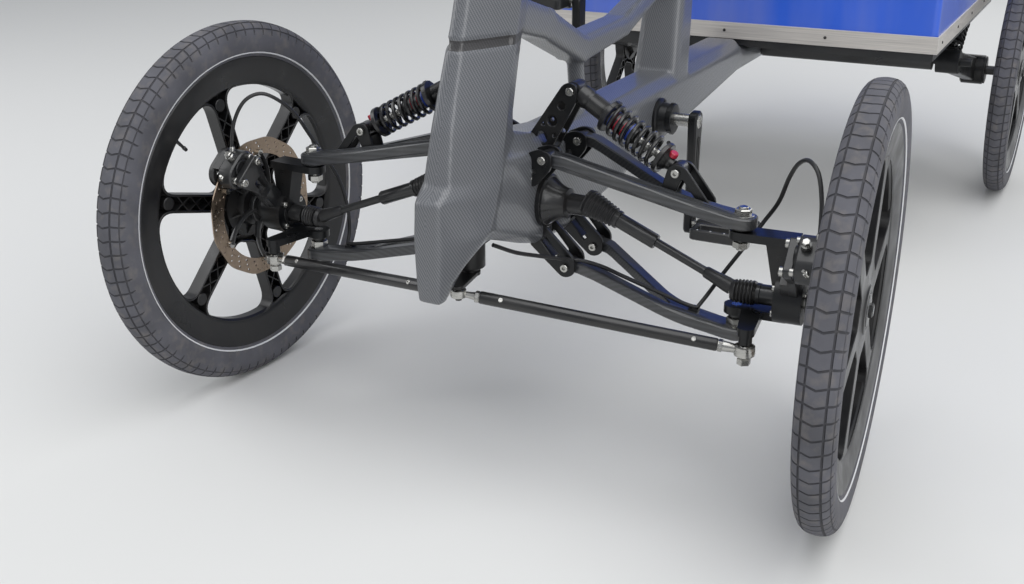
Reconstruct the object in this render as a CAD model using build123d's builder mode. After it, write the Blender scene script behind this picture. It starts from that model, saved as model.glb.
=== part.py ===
from build123d import *
import os
from math import atan2, cos, degrees, hypot, pi, radians, sin, tan

os.makedirs("parts", exist_ok=True)

# A four-wheeled pedal cargo cycle: a carbon spine frame with a nose column, double wishbones
# and driven, steered front wheels, a saddle on a leaning post, and a closed box between the
# rear wheels. Millimetres, +Z up, the front looks along -Y, the rider's left is +X.
# The origin is on the ground, midway between the axles.

# Wheels and stance
wheelbase = 1528.0
half_track = 445.0
rim_seat_radius = 211.0
tyre_height = 52.0
tyre_radius = rim_seat_radius + tyre_height
tyre_width = 45.0
rim_width = 35.0
rim_depth = 35.0
window_outer_radius = rim_seat_radius - rim_depth
window_inner_radius = 58.0
spoke_width = 26.0
spoke_count = 6
web_thickness = 22.0
hub_radius = 30.0
toe_out = 3.7
spoke_turn = 15.0
front_y = -wheelbase / 2
rear_y = wheelbase / 2

# Steering geometry of the front corners
kingpin_x = 307.0
hub_offset = half_track - kingpin_x
kingpin_y = front_y - hub_offset * sin(radians(toe_out))
arm_bolt_radius = 6.0
pin_clearance = 0.05
disc_radius = 101.5
disc_inner_radius = 76.0
disc_thickness = 2.0
disc_offset = 101.0
carrier_radius = 30.0
carrier_start = 47.0
carrier_end = 80.0
stub_radius = 11.0
axle_radius = 10.0

# Wishbone pivots and ball joints
upper_pivot_x = 62.0
upper_pivot_z = 401.0
upper_pivot_front = -26.0
upper_pivot_rear = 79.0
lower_pivot_x = 78.0
lower_pivot_z = 252.0
lower_pivot_front = 10.0
lower_pivot_rear = 100.0
upper_ball_z = 350.0
lower_ball_z = 211.0
lower_stud_top = 246.0
arm_width = 22.0
arm_depth = 14.0
bolt_radius = 4.0

# Drive to the front wheels
drive_z = 337.0
boot_inner_x = 120.0
bell_rim_x = 48.0
bell_rim_radius = 34.0

# Steering relay and tie rods
relay_y = front_y - 115.0
relay_z = 262.0
inner_ball_x = 12.0
inner_ball_y = front_y - 165.0
outer_ball_x = 338.0
outer_ball_y = front_y - 72.0
outer_ball_z = 217.0
tie_rod_radius = 7.0

# Spine beam and body sections
beam_half_width = 40.0
beam_top = 409.0
beam_end = rear_y - 288.0

# Steering column
column_rake = 18.5
column_axis_y = front_y - 76.0
column_axis_z = 600.0

# Pedal drive
crank_y = front_y + 418.0
crank_z = 354.0
crank_length = 168.0
crank_inner_x = 93.0
crank_thickness = 14.0
spindle_radius = 6.0
pedal_gap = 6.0
pedal_length = 92.0

# Saddle
post_y = front_y + 493.0
post_rake = 10.4
saddle_z = 930.0

# Cargo box
box_front = rear_y - 668.0
box_rear = rear_y + 162.0
box_half_width = 379.0
rear_wheel_gap = 59.5
rear_half_track = box_half_width + rear_wheel_gap + tyre_width / 2
box_bottom = 406.0
box_top = 1090.0
box_wall = 12.0
base_bottom = 392.0
trim_height = 30.0
trim_thickness = 3.0


def write(piece, name):
    piece.label = name
    export_step(piece, f"parts/{name}.step")


def write_pair(piece, name):
    write(piece, f"{name}_left")
    write(mirror(piece, about=Plane.YZ), f"{name}_right")


def along(start, end):
    """Plane at start whose normal runs to end, with its x direction level."""
    run = Vector(*end) - Vector(*start)
    side = Vector(0, 0, 1).cross(run)
    if side.length < 1e-6:
        side = Vector(1, 0, 0)
    return Plane(origin=start, x_dir=side, z_dir=run)


def distance(start, end):
    return (Vector(*end) - Vector(*start)).length


def rod(start, end, radius):
    """Adds a round bar between two points to the part being built."""
    with BuildSketch(along(start, end)) as profile:
        Circle(radius)
    extrude(profile.sketch, amount=distance(start, end))


def cone(start, end, start_radius, end_radius):
    """Adds a tapered round bar between two points to the part being built."""
    run = along(start, end)
    with BuildSketch(run) as first:
        Circle(start_radius)
    with BuildSketch(run.offset(distance(start, end))) as last:
        Circle(end_radius)
    loft([first.sketch, last.sketch])


# Main frame: nose, column, body and spine beam
# height, half front width, front face, half width, shoulder, half rear width, rear face
nose_sections = [
    (262, 14, -213, 15.5, -203, 13, -197),
    (283, 15, -216, 19, -192, 14, -166),
    (300, 15, -216, 27, -178, 14, -139),
    (337, 15, -217, 48, -153, 34, -60),
    (384, 15, -214, 48, -127, 34, -60),
]
column_sections = [
    (398, 16, -192, 48, -122, 32, -60),
    (463, 12, -177, 46, -104, 30, -56),
    (571, 8, -137, 42, -64, 28, -20),
    (760, 7, -73, 37, -6, 26, 26),
]
shoulder_bulge = 0.02


def nose_outline(half_front, front, half_width, shoulder, half_rear, rear):
    start = Vector(half_front, front_y + front)
    end = Vector(half_width, front_y + shoulder)
    chord = end - start
    bulge = start + chord * 0.5 + Vector(chord.Y, -chord.X) * shoulder_bulge
    with BuildLine() as edge:
        ThreePointArc((start.X, start.Y), (bulge.X, bulge.Y), (end.X, end.Y))
        Polyline(
            (end.X, end.Y),
            (half_rear, front_y + rear),
            (-half_rear, front_y + rear),
            (-end.X, end.Y),
        )
        ThreePointArc((-end.X, end.Y), (-bulge.X, bulge.Y), (-start.X, start.Y))
        Line((-start.X, start.Y), (start.X, start.Y))
    make_face(edge.edges())


def loft_sections(sections):
    """Ruled loft through the nose or column sections of a table."""
    for low, high in zip(sections, sections[1:]):
        with BuildSketch(Plane.XY.offset(low[0])) as first:
            nose_outline(*low[1:])
        with BuildSketch(Plane.XY.offset(high[0])) as last:
            nose_outline(*high[1:])
        loft([first.sketch, last.sketch], ruled=True)


# distance behind the front axle, half top width, top, half width, shoulder height, bottom
body_sections = [
    (-130, 26, 440, 44, 420, 322),
    (-50, 28, 436, 48, 402, 292),
    (0, 27, 422, 47, 399, 276),
    (90, 26, beam_top + 2, 44, 395, 270),
    (300, 25, beam_top, beam_half_width, 393, 290),
    (600, 25, beam_top, beam_half_width, 393, 322),
    (840, 25, beam_top, beam_half_width, 393, 347),
    (856, 25, base_bottom, beam_half_width, 384, 348),
    (1240, 25, base_bottom, beam_half_width, 384, 350),
]


def body_outline(half_top, top, half_width, shoulder, bottom):
    lower_edge = 11
    with BuildLine() as edge:
        Polyline(
            (half_top, top),
            (half_width, shoulder),
            (half_width, bottom + lower_edge),
            (half_width - lower_edge, bottom),
            (lower_edge - half_width, bottom),
            (-half_width, bottom + lower_edge),
            (-half_width, shoulder),
            (-half_top, top),
            close=True,
        )
    make_face(edge.edges())


def crosswise(distance_back):
    """Upright plane across the vehicle, x to the rider's left, y up."""
    return Plane(origin=(0, front_y + distance_back, 0), x_dir=(1, 0, 0), z_dir=(0, -1, 0))


with BuildPart() as main_frame:
    loft_sections(nose_sections)
    loft_sections([nose_sections[-1], column_sections[0]])
    loft_sections(column_sections)
    for front, back in zip(body_sections, body_sections[1:]):
        for section in (front, back):
            with BuildSketch(crosswise(section[0])):
                body_outline(*section[1:])
        loft(ruled=True)
    # bore for the crank axle
    with Locations(Plane(origin=(0, crank_y, crank_z), x_dir=(0, 1, 0), z_dir=(1, 0, 0))):
        Cylinder(radius=14, height=2 * beam_half_width + 20, mode=Mode.SUBTRACT)
    # bore for the steering shaft
    head_axis = Vector(0, sin(radians(column_rake)), cos(radians(column_rake)))
    head_point = Vector(0, column_axis_y, column_axis_z)
    with Locations(Plane(origin=head_point + head_axis * 100, x_dir=(1, 0, 0), z_dir=head_axis)):
        Cylinder(radius=17, height=160, mode=Mode.SUBTRACT, align=(Align.CENTER, Align.CENTER, Align.MIN))


# Upper frame: the V member from the column down to a node and up to the saddle post
upper_frame_path = [
    # distance behind the front axle, height, half width, half depth
    (-40, 575, 26, 22),
    (60, 548, 24, 20),
    (178, 497, 22, 18),
    (330, 505, 20, 15),
    (520, 560, 18, 13),
]
with BuildPart() as upper_frame:
    for front, back in zip(upper_frame_path, upper_frame_path[1:]):
        run = along((0, front_y + front[0], front[1]), (0, front_y + back[0], back[1]))
        length = hypot(back[0] - front[0], back[1] - front[1])
        with BuildSketch(run):
            RectangleRounded(2 * front[2], 2 * front[3], 7)
        with BuildSketch(run.offset(length)):
            RectangleRounded(2 * back[2], 2 * back[3], 7)
        loft(ruled=True)
    for knot in upper_frame_path[1:-1]:
        with BuildSketch(Plane(origin=(0, front_y + knot[0], knot[1]), x_dir=(0, 1, 0), z_dir=(1, 0, 0))):
            Circle(knot[3])
        extrude(amount=knot[2], both=True)
    # strut from the node down to the spine
    rod((0, front_y + 200, beam_top - 4), (0, front_y + 185, 490), 12)
    add(main_frame.part, mode=Mode.SUBTRACT)

# Saddle post: a tapered carbon fairing and the saddle tube
post_axis = Vector(0, sin(radians(post_rake)), cos(radians(post_rake)))
post_foot = Vector(0, post_y + 34, beam_top - 16)
post_plane = Plane(origin=post_foot, x_dir=(1, 0, 0), z_dir=post_axis)
seat_y = (post_foot + post_axis * 478).Y
seat_z = (post_foot + post_axis * 478).Z
with BuildPart() as seat_post:
    with BuildSketch(post_plane):
        RectangleRounded(78, 70, 16)
    with BuildSketch(post_plane.offset(310)):
        RectangleRounded(54, 54, 16)
    loft()
    with BuildSketch(post_plane.offset(310)):
        Circle(17)
    extrude(amount=166)
    with BuildSketch(Plane.XY.offset(seat_z)):
        with Locations((0, seat_y)):
            RectangleRounded(150, 200, 30)
    extrude(amount=10)
    add(main_frame.part, mode=Mode.SUBTRACT)
    add(upper_frame.part, mode=Mode.SUBTRACT)

# Front brackets: shock towers, wishbone lugs and the lower cross member
lug_thickness = 5.0
tower_top = (77.0, front_y + 20.0, 478.0)
with BuildPart() as front_brackets:
    for side in (1, -1):
        for y in (upper_pivot_front, upper_pivot_rear):
            for gap in (-1, 1):
                lug_y = front_y + y + gap * (arm_width / 2 + lug_thickness / 2 + 0.5)
                with BuildSketch(Plane(origin=(0, lug_y, 0), x_dir=(side, 0, 0), z_dir=(0, -side, 0))):
                    with BuildLine():
                        Polyline((38, 368), (52, 368), (upper_pivot_x + 11, 394), (upper_pivot_x + 9, 410),
                                 (upper_pivot_x - 8, 412), (38, 404), close=True)
                    make_face()
                extrude(amount=lug_thickness / 2, both=True)
        for y in (lower_pivot_front, lower_pivot_rear):
            for gap in (-1, 1):
                lug_y = front_y + y + gap * (arm_width / 2 + lug_thickness / 2 + 0.5)
                with BuildSketch(Plane(origin=(0, lug_y, 0), x_dir=(side, 0, 0), z_dir=(0, -side, 0))):
                    with BuildLine():
                        Polyline((20, 236), (lower_pivot_x + 8, 238), (lower_pivot_x + 12, 256),
                                 (44, 304), (34, 304), (20, 276), close=True)
                    make_face()
                extrude(amount=lug_thickness / 2, both=True)
        # shock tower: two plates leaning out and back to the shock's top bolt
        for gap in (-1, 1):
            tower_y = tower_top[1] + gap * 13.5
            with BuildSketch(Plane(origin=(0, tower_y, 0), x_dir=(side, 0, 0), z_dir=(0, -side, 0))):
                with BuildLine():
                    Polyline((10, 400), (46, 396), (tower_top[0] + 9, tower_top[2] - 8),
                             (tower_top[0] + 7, tower_top[2] + 9), (tower_top[0] - 8, tower_top[2] + 9),
                             close=True)
                make_face()
            extrude(amount=2.5, both=True)
        # bolts through the lugs and the tower
        bolts = (
            (upper_pivot_x, upper_pivot_front, upper_pivot_z),
            (upper_pivot_x, upper_pivot_rear, upper_pivot_z),
            (lower_pivot_x, lower_pivot_front, lower_pivot_z),
            (lower_pivot_x, lower_pivot_rear, lower_pivot_z),
        )
        for x, y, z in bolts:
            with Locations(Plane(origin=(side * x, front_y + y, z), x_dir=(1, 0, 0), z_dir=(0, 1, 0))):
                Cylinder(radius=bolt_radius, height=arm_width + 20)
        with Locations(Plane(origin=(side * tower_top[0], tower_top[1], tower_top[2]),
                             x_dir=(1, 0, 0), z_dir=(0, 1, 0))):
            Cylinder(radius=bolt_radius, height=40)
    for y in (lower_pivot_front, lower_pivot_rear):
        with Locations((0, front_y + y, 243)):
            Box(2 * lower_pivot_x - 28, 30, 14)
    with Locations((0, front_y + 55, 262)):
        Box(44, 122, 24)
    add(main_frame.part, mode=Mode.SUBTRACT)
    add(upper_frame.part, mode=Mode.SUBTRACT)


# Wishbones: two legs each, from the pivots to the ball joint boss on the kingpin
def wishbone(pivot_x, pivot_z, front, rear, ball_z, crotch_x):
    """Two box legs that meet in a solid outer end with the kingpin bolt's boss."""
    ball = (kingpin_x, kingpin_y, ball_z)
    crotch_z = ball_z + (pivot_z - ball_z) * (kingpin_x - crotch_x) / (kingpin_x - pivot_x)
    crotch = (crotch_x, kingpin_y, crotch_z)
    for y in (front, rear):
        pivot = (pivot_x, front_y + y, pivot_z)
        elbow = (pivot_x + 30, front_y + y, pivot_z - 2)
        tip = (crotch_x + 18, kingpin_y + (6 if y == rear else -6), crotch_z)
        for start, end in ((pivot, elbow), (elbow, tip)):
            with BuildSketch(along(start, end)) as leg:
                RectangleRounded(arm_width - 2, arm_depth, 3)
            extrude(leg.sketch, amount=distance(start, end))
        with Locations(Location(elbow)):
            Cylinder(radius=arm_width / 2 - 1, height=arm_depth)
        # pivot boss, bored for the lug's bolt
        with Locations(Plane(origin=pivot, x_dir=(1, 0, 0), z_dir=(0, 1, 0))):
            Cylinder(radius=9, height=arm_width)
            Cylinder(radius=bolt_radius + pin_clearance, height=arm_width + 16, mode=Mode.SUBTRACT)
    outer = along(crotch, ball)
    with BuildSketch(outer) as root:
        RectangleRounded(arm_width + 16, arm_depth, 3)
    with BuildSketch(outer.offset(distance(crotch, ball))) as end:
        RectangleRounded(30, arm_depth, 3)
    loft([root.sketch, end.sketch])
    with Locations(Location(ball)):
        Cylinder(radius=16, height=arm_depth)


with BuildPart() as upper_arm:
    wishbone(upper_pivot_x, upper_pivot_z, upper_pivot_front, upper_pivot_rear, upper_ball_z, 228)
    # bolt head above, joint washer, bolt and nut below
    with BuildSketch(Plane.XY.offset(upper_ball_z)):
        with Locations((kingpin_x, kingpin_y)):
            RegularPolygon(9.5, 6)
    extrude(amount=arm_depth / 2 + 9)
    with BuildSketch(Plane.XY.offset(upper_ball_z - 32)):
        with Locations((kingpin_x, kingpin_y)):
            Circle(arm_bolt_radius)
    extrude(amount=30)
    with BuildSketch(Plane.XY.offset(upper_ball_z - 32)):
        with Locations((kingpin_x, kingpin_y)):
            RegularPolygon(9.5, 6)
    extrude(amount=9)

with BuildPart() as lower_arm:
    wishbone(lower_pivot_x, lower_pivot_z, lower_pivot_front, lower_pivot_rear, lower_ball_z, 228)
    with BuildSketch(Plane.XY.offset(lower_ball_z)):
        with Locations((kingpin_x, kingpin_y)):
            RegularPolygon(10.5, 6)
    extrude(amount=20)
    with BuildSketch(Plane.XY.offset(lower_ball_z)):
        with Locations((kingpin_x, kingpin_y)):
            Circle(arm_bolt_radius)
    extrude(amount=lower_stud_top - lower_ball_z)

# Shock mounts: the lower clevis stands on the upper wishbone
shock_top = tower_top
shock_foot = (223.0, front_y + 1.0, 398.0)
with BuildPart() as shock_clevis:
    for gap in (-1, 1):
        with BuildSketch(Plane(origin=(0, shock_foot[1] + gap * 11.5, 0), x_dir=(1, 0, 0), z_dir=(0, -1, 0))):
            with BuildLine():
                Polyline((shock_foot[0] - 21, shock_foot[2] - 32), (shock_foot[0] + 41, shock_foot[2] - 46),
                         (shock_foot[0] + 41, shock_foot[2] - 32), (shock_foot[0] + 9, shock_foot[2] + 8),
                         (shock_foot[0] - 8, shock_foot[2] + 8), close=True)
            make_face()
        extrude(amount=2, both=True)
    with Locations(Plane(origin=shock_foot, x_dir=(1, 0, 0), z_dir=(0, 1, 0))):
        Cylinder(radius=bolt_radius, height=34)
    add(upper_arm.part, mode=Mode.SUBTRACT)
upper_arm_assembly = upper_arm.part + shock_clevis.part


# Shock absorbers with their coil springs
def shock(top, foot, body_radius, rod_radius, coil_radius, wire, turns, coil_start, coil_length):
    """Damper tube, collars, rod, end eyes and the coil, from the top eye to the foot eye."""
    length = distance(top, foot)
    run = along(top, foot)
    bars = (
        # start along the run, length, radius
        (8, 10, rod_radius),
        (18, length * 0.5, body_radius),
        (18 + length * 0.5, length * 0.5 - 26, rod_radius),
        (coil_start - 6, 6, coil_radius + wire / 2),
        (coil_start + coil_length, 6, coil_radius + wire / 2),
    )
    for start, reach, radius in bars:
        with BuildSketch(run.offset(start)) as section:
            Circle(radius)
        extrude(section.sketch, amount=reach)
    eye = Vector(0, 1, 0)
    for point in (top, foot):
        with Locations(Plane(origin=point, x_dir=(1, 0, 0), z_dir=eye)):
            Cylinder(radius=11, height=18)
            Cylinder(radius=bolt_radius + pin_clearance, height=30, mode=Mode.SUBTRACT)
    with BuildLine() as coil:
        Helix(pitch=coil_length / turns, height=coil_length, radius=coil_radius,
              center=run.offset(coil_start).origin, direction=run.z_dir)
    with BuildSketch(Plane(origin=coil.line @ 0, z_dir=coil.line % 0)) as section:
        RegularPolygon(wire / 2, 6)
    sweep(section.sketch, path=coil.line, is_frenet=True)


with BuildPart() as front_shock:
    shock(shock_top, shock_foot, 13, 7, 16.5, 5, 7.5, 44, 76)

# Bell housings: the drive unit's two outputs at the frame's sides
with BuildPart() as bell_housings:
    for side in (1, -1):
        output = Plane(origin=(side * (bell_rim_x - 4), front_y, drive_z), x_dir=(0, 1, 0), z_dir=(side, 0, 0))
        with BuildSketch(output):
            Circle(bell_rim_radius)
        extrude(amount=10)
        with BuildSketch(output.offset(10)):
            Circle(bell_rim_radius - 3)
        with BuildSketch(output.offset(36)):
            Circle(19)
        loft()
        with BuildSketch(output.offset(36)):
            Circle(12.5)
        extrude(amount=22)
    add(main_frame.part, mode=Mode.SUBTRACT)
    add(front_brackets.part, mode=Mode.SUBTRACT)

# Axle shafts: inner boot on the bell's neck, thick tube, thin shaft, sleeve and the joint ball
inner_joint = (boot_inner_x, front_y, drive_z)
outer_joint = (kingpin_x, kingpin_y, tyre_radius)
joint_ball_radius = 9.0
neck_end = bell_rim_x - 4 + 58
with BuildPart() as axle_shaft:
    shaft_run = along(inner_joint, outer_joint)
    shaft_length = distance(inner_joint, outer_joint)
    boot_ridges = 6
    boot_pitch = 6.0
    boot_plane = Plane(origin=(neck_end, front_y, drive_z), x_dir=(0, 1, 0), z_dir=(1, 0, 0))
    with BuildSketch(boot_plane):
        Circle(13)
    extrude(amount=18)
    for ridge in range(boot_ridges):
        with BuildSketch(shaft_run.offset(ridge * boot_pitch - 14)):
            Circle(17 - 0.9 * ridge)
        with BuildSketch(shaft_run.offset(ridge * boot_pitch - 14 + boot_pitch)):
            Circle(14 - 0.9 * ridge)
        loft()
    with BuildSketch(shaft_run.offset(18)):
        Circle(8.5)
    extrude(amount=70)
    with BuildSketch(shaft_run.offset(80)):
        Circle(5.3)
    extrude(amount=shaft_length - 80)
    with BuildSketch(shaft_run.offset(shaft_length - 44)):
        Circle(7)
    with BuildSketch(shaft_run.offset(shaft_length - 16)):
        Circle(9.5)
    loft()
    with Locations(Location(outer_joint)):
        Sphere(joint_ball_radius)
    add(bell_housings.part, mode=Mode.SUBTRACT)

# Steered knuckles, built about the kingpin with the axle along +X, then turned by the toe
knuckle_place = Location((kingpin_x, kingpin_y, 0), (0, 0, toe_out))
steer_x = outer_ball_x - kingpin_x
steer_y = outer_ball_y - kingpin_y
toe = radians(toe_out)
steer_eye = (steer_x * cos(toe) + steer_y * sin(toe), steer_y * cos(toe) - steer_x * sin(toe))
plate_top = upper_ball_z - arm_depth / 2 - 3
lug_bottom = 236.0
lug_thickness_low = 10.0
with BuildPart() as knuckle_body:
    # top plate round the upper bolt
    with BuildSketch(Plane.XY.offset(plate_top - 10)):
        Circle(15)
        with Locations((35, 0)):
            Rectangle(66, 30)
    extrude(amount=10)
    # lower plate round the lower bolt
    with BuildSketch(Plane.XY.offset(lug_bottom)):
        Circle(15)
        with Locations((32, 0)):
            Rectangle(60, 28)
        with BuildLine():
            Polyline((34, -10), (steer_eye[0] + 10, steer_eye[1]), (steer_eye[0] - 10, steer_eye[1]),
                     (8, -10), close=True)
        make_face()
        with Locations(steer_eye):
            Circle(10)
    extrude(amount=lug_thickness_low)
    # upright web from the top plate to the carrier, and on down to the lower plate
    with BuildSketch(Plane.XZ.offset(-12)):
        with BuildLine():
            Polyline((30, plate_top - 4), (66, plate_top - 4), (62, tyre_radius), (62, lug_bottom + 2),
                     (44, lug_bottom + 2), (46, tyre_radius), close=True)
        make_face()
    extrude(amount=24)
    # hub carrier
    with BuildSketch(Plane.YZ.offset(carrier_start)):
        with Locations((0, tyre_radius)):
            Circle(carrier_radius)
    extrude(amount=carrier_end - carrier_start)
    # outer joint housing with its boot ridges
    with BuildSketch(Plane.YZ.offset(26)):
        with Locations((0, tyre_radius)):
            Circle(stub_radius)
    extrude(amount=carrier_start - 26)
    for ridge in range(5):
        start = ridge * 5.0
        with BuildSketch(Plane.YZ.offset(start)):
            with Locations((0, tyre_radius)):
                Circle(14.5)
        with BuildSketch(Plane.YZ.offset(start + 5.0)):
            with Locations((0, tyre_radius)):
                Circle(12)
        loft()
    with Locations((0, 0, tyre_radius)):
        Sphere(joint_ball_radius + 0.5, mode=Mode.SUBTRACT)
    # bores: the two bolts, the wheel's axle
    with Locations((0, 0, tyre_radius)):
        Cylinder(radius=arm_bolt_radius + pin_clearance, height=400, mode=Mode.SUBTRACT)
    with Locations(Plane(origin=(carrier_start + 6, 0, tyre_radius), x_dir=(0, 1, 0), z_dir=(1, 0, 0))):
        Cylinder(radius=axle_radius + pin_clearance, height=60, mode=Mode.SUBTRACT,
                 align=(Align.CENTER, Align.CENTER, Align.MIN))
with BuildPart() as steering_stud:
    with BuildSketch(Plane.XY.offset(outer_ball_z + 8.5)):
        with Locations(steer_eye):
            Circle(8)
    extrude(amount=lug_bottom - outer_ball_z - 8.5)

# Brake calipers: a slotted block over the disc, on an arm of the knuckle
caliper_angle = 130.0
caliper_reach = 99.0
disc_middle = disc_offset + 5.0
with BuildPart() as caliper:
    with Locations(Location((disc_offset, 0, tyre_radius), (caliper_angle - 90, 0, 0))):
        with Locations((-4, 0, caliper_reach)):
            Box(44, 60, 30)
        with Locations((disc_middle - disc_offset, 0, caliper_reach - 8)):
            Box(disc_thickness + 5, 80, 32, mode=Mode.SUBTRACT)
    with Locations(Location((disc_offset, 0, tyre_radius), (caliper_angle - 90, 0, 0))):
        with Locations((-34, 0, 62)):
            Box(22, 26, 74)
    with Locations(Plane(origin=(carrier_start, 0, tyre_radius), x_dir=(0, 1, 0), z_dir=(1, 0, 0))):
        Cylinder(radius=carrier_radius, height=60, mode=Mode.SUBTRACT,
                 align=(Align.CENTER, Align.CENTER, Align.MIN))
    add(knuckle_body.part, mode=Mode.SUBTRACT)

# Wheels, built at the origin with the axle along X and the outer face towards +X
rim_wall = 3.0
flange_height = 4.0
# share of the half width, share of the height above the rim's flange
tyre_section = [
    (0.86, 0.12),
    (1.0, 0.35),
    (1.0, 0.52),
    (0.93, 0.728),
    (0.74, 0.885),
    (0.43, 0.973),
    (0.0, 1.0),
]
with BuildPart() as tyre:
    half = tyre_width / 2
    bead = rim_width / 2 - rim_wall
    flange_radius = rim_seat_radius + flange_height + 0.2
    tyre_height = tyre_radius - flange_radius
    side_wall = [(half * across, flange_radius + tyre_height * up) for across, up in tyre_section]
    other_wall = [(-across, up) for across, up in reversed(side_wall[:-1])]
    with BuildSketch(Plane.XZ):
        with BuildLine():
            Polyline((bead, rim_seat_radius), (bead, flange_radius), (rim_width / 2, flange_radius),
                     *side_wall, *other_wall,
                     (-rim_width / 2, flange_radius), (-bead, flange_radius), (-bead, rim_seat_radius),
                     close=True)
        make_face()
    revolve(axis=Axis.X)


def window_outline():
    """One opening between two spokes, with parallel spoke sides and rounded corners."""
    half_gap = pi / spoke_count
    inset = spoke_width / 2
    outer = window_outer_radius
    inner = window_inner_radius
    outer_angle = half_gap - atan2(inset, outer)
    inner_angle = half_gap - atan2(inset, inner)
    with BuildLine() as edge:
        ThreePointArc(
            (outer * cos(outer_angle), -outer * sin(outer_angle)),
            (outer, 0),
            (outer * cos(outer_angle), outer * sin(outer_angle)),
        )
        Line((outer * cos(outer_angle), outer * sin(outer_angle)),
             (inner * cos(inner_angle), inner * sin(inner_angle)))
        ThreePointArc(
            (inner * cos(inner_angle), inner * sin(inner_angle)),
            (inner, 0),
            (inner * cos(inner_angle), -inner * sin(inner_angle)),
        )
        Line((inner * cos(inner_angle), -inner * sin(inner_angle)),
             (outer * cos(outer_angle), -outer * sin(outer_angle)))
    make_face(edge.edges())


def wheel_disc():
    """Rim channel, web with its windows and the hub barrel."""
    half = rim_width / 2
    flange = rim_seat_radius + flange_height
    with BuildSketch(Plane.XZ) as channel:
        with BuildLine():
            Polyline(
                (-half, flange), (rim_wall - half, flange), (rim_wall - half, rim_seat_radius),
                (half - rim_wall, rim_seat_radius), (half - rim_wall, flange), (half, flange),
                (half, rim_seat_radius - 15), (half - 4, window_outer_radius + 3),
                (web_thickness / 2, window_outer_radius - 4), (-web_thickness / 2, window_outer_radius - 4),
                (4 - half, window_outer_radius + 3), (-half, rim_seat_radius - 15),
                close=True,
            )
        make_face()
    revolve(channel.sketch, axis=Axis.X)
    with BuildSketch(Plane.YZ.offset(-web_thickness / 2)) as web:
        Circle(window_outer_radius - 1)
        for turn in range(spoke_count):
            add(window.sketch, rotation=360 / spoke_count * (turn + 0.5) + spoke_turn, mode=Mode.SUBTRACT)
    extrude(web.sketch, amount=web_thickness)
    with BuildSketch(Plane.YZ.offset(-24)) as barrel:
        Circle(hub_radius)
    extrude(barrel.sketch, amount=50)


with BuildSketch() as window:
    window_outline()
    fillet(window.vertices().sort_by(Axis.X)[-2:], 22)
    fillet(window.vertices().sort_by(Axis.X)[:2], 8)

with BuildPart() as front_rim:
    wheel_disc()

with BuildPart() as front_hub:
    # axle in the carrier, flange and disc spider, all inboard of the rim's barrel
    with BuildSketch(Plane.YZ.offset(carrier_start + 8 - hub_offset)):
        Circle(axle_radius)
    extrude(amount=hub_offset - carrier_start - 8 - 24)
    with BuildSketch(Plane.YZ.offset(carrier_end + 2 - hub_offset)):
        Circle(17)
    extrude(amount=hub_offset - carrier_end - 2 - 24)
    disc_plane = Plane.YZ.offset(disc_offset - hub_offset)
    with BuildSketch(disc_plane):
        Circle(24)
        with PolarLocations(50, 6):
            Rectangle(60, 9)
    extrude(amount=4)
    with BuildSketch(disc_plane.offset(4)):
        Circle(disc_radius)
        Circle(disc_inner_radius, mode=Mode.SUBTRACT)
        with PolarLocations(88, 24):
            Circle(4, mode=Mode.SUBTRACT)
    extrude(amount=disc_thickness)

with BuildPart() as rear_rim:
    wheel_disc()
    with BuildSketch(Plane.YZ.offset(-104)):
        Circle(axle_radius)
    extrude(amount=100)


def wheel_place(side, track, axle_y, toe):
    turn = toe if side > 0 else 180 - toe
    return Location((side * track, axle_y, tyre_radius), (0, 0, turn))


for side, hand in ((1, "left"), (-1, "right")):
    front_place = wheel_place(side, half_track, front_y, toe_out)
    rear_place = wheel_place(side, rear_half_track, rear_y, 0)
    write(tyre.part.moved(front_place), f"tyre_front_{hand}")
    write(front_rim.part.moved(front_place), f"rim_front_{hand}")
    write(front_hub.part.moved(front_place), f"hub_front_{hand}")
    write(tyre.part.moved(rear_place), f"tyre_rear_{hand}")
    write(rear_rim.part.moved(rear_place), f"rim_rear_{hand}")

# Steering relay under the body, and the tie rods
relay_thickness = 5.0
with BuildPart() as steering_relay:
    with BuildSketch(Plane.XY.offset(relay_z + 5.5)):
        with Locations((0, relay_y)):
            Circle(13)
        with BuildLine():
            Polyline((-12, relay_y), (-inner_ball_x - 7, inner_ball_y), (inner_ball_x + 7, inner_ball_y),
                     (12, relay_y), close=True)
        make_face()
        with Locations((inner_ball_x, inner_ball_y), (-inner_ball_x, inner_ball_y)):
            Circle(7)
    extrude(amount=relay_thickness)
    with BuildSketch(Plane.XY.offset(relay_z + 5.5)):
        with Locations((0, relay_y)):
            Circle(11)
    extrude(amount=28)
    # ball studs that the tie rods turn on
    with BuildSketch(Plane.XY.offset(relay_z - 9)):
        with Locations((inner_ball_x, inner_ball_y), (-inner_ball_x, inner_ball_y)):
            Circle(4)
    extrude(amount=15)

with BuildPart() as relay_bearing:
    with BuildSketch(Plane.XY.offset(relay_z + 16)):
        with Locations((0, relay_y)):
            Circle(19)
            Circle(11 + pin_clearance, mode=Mode.SUBTRACT)
    extrude(amount=40)
    add(main_frame.part, mode=Mode.SUBTRACT)

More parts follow.
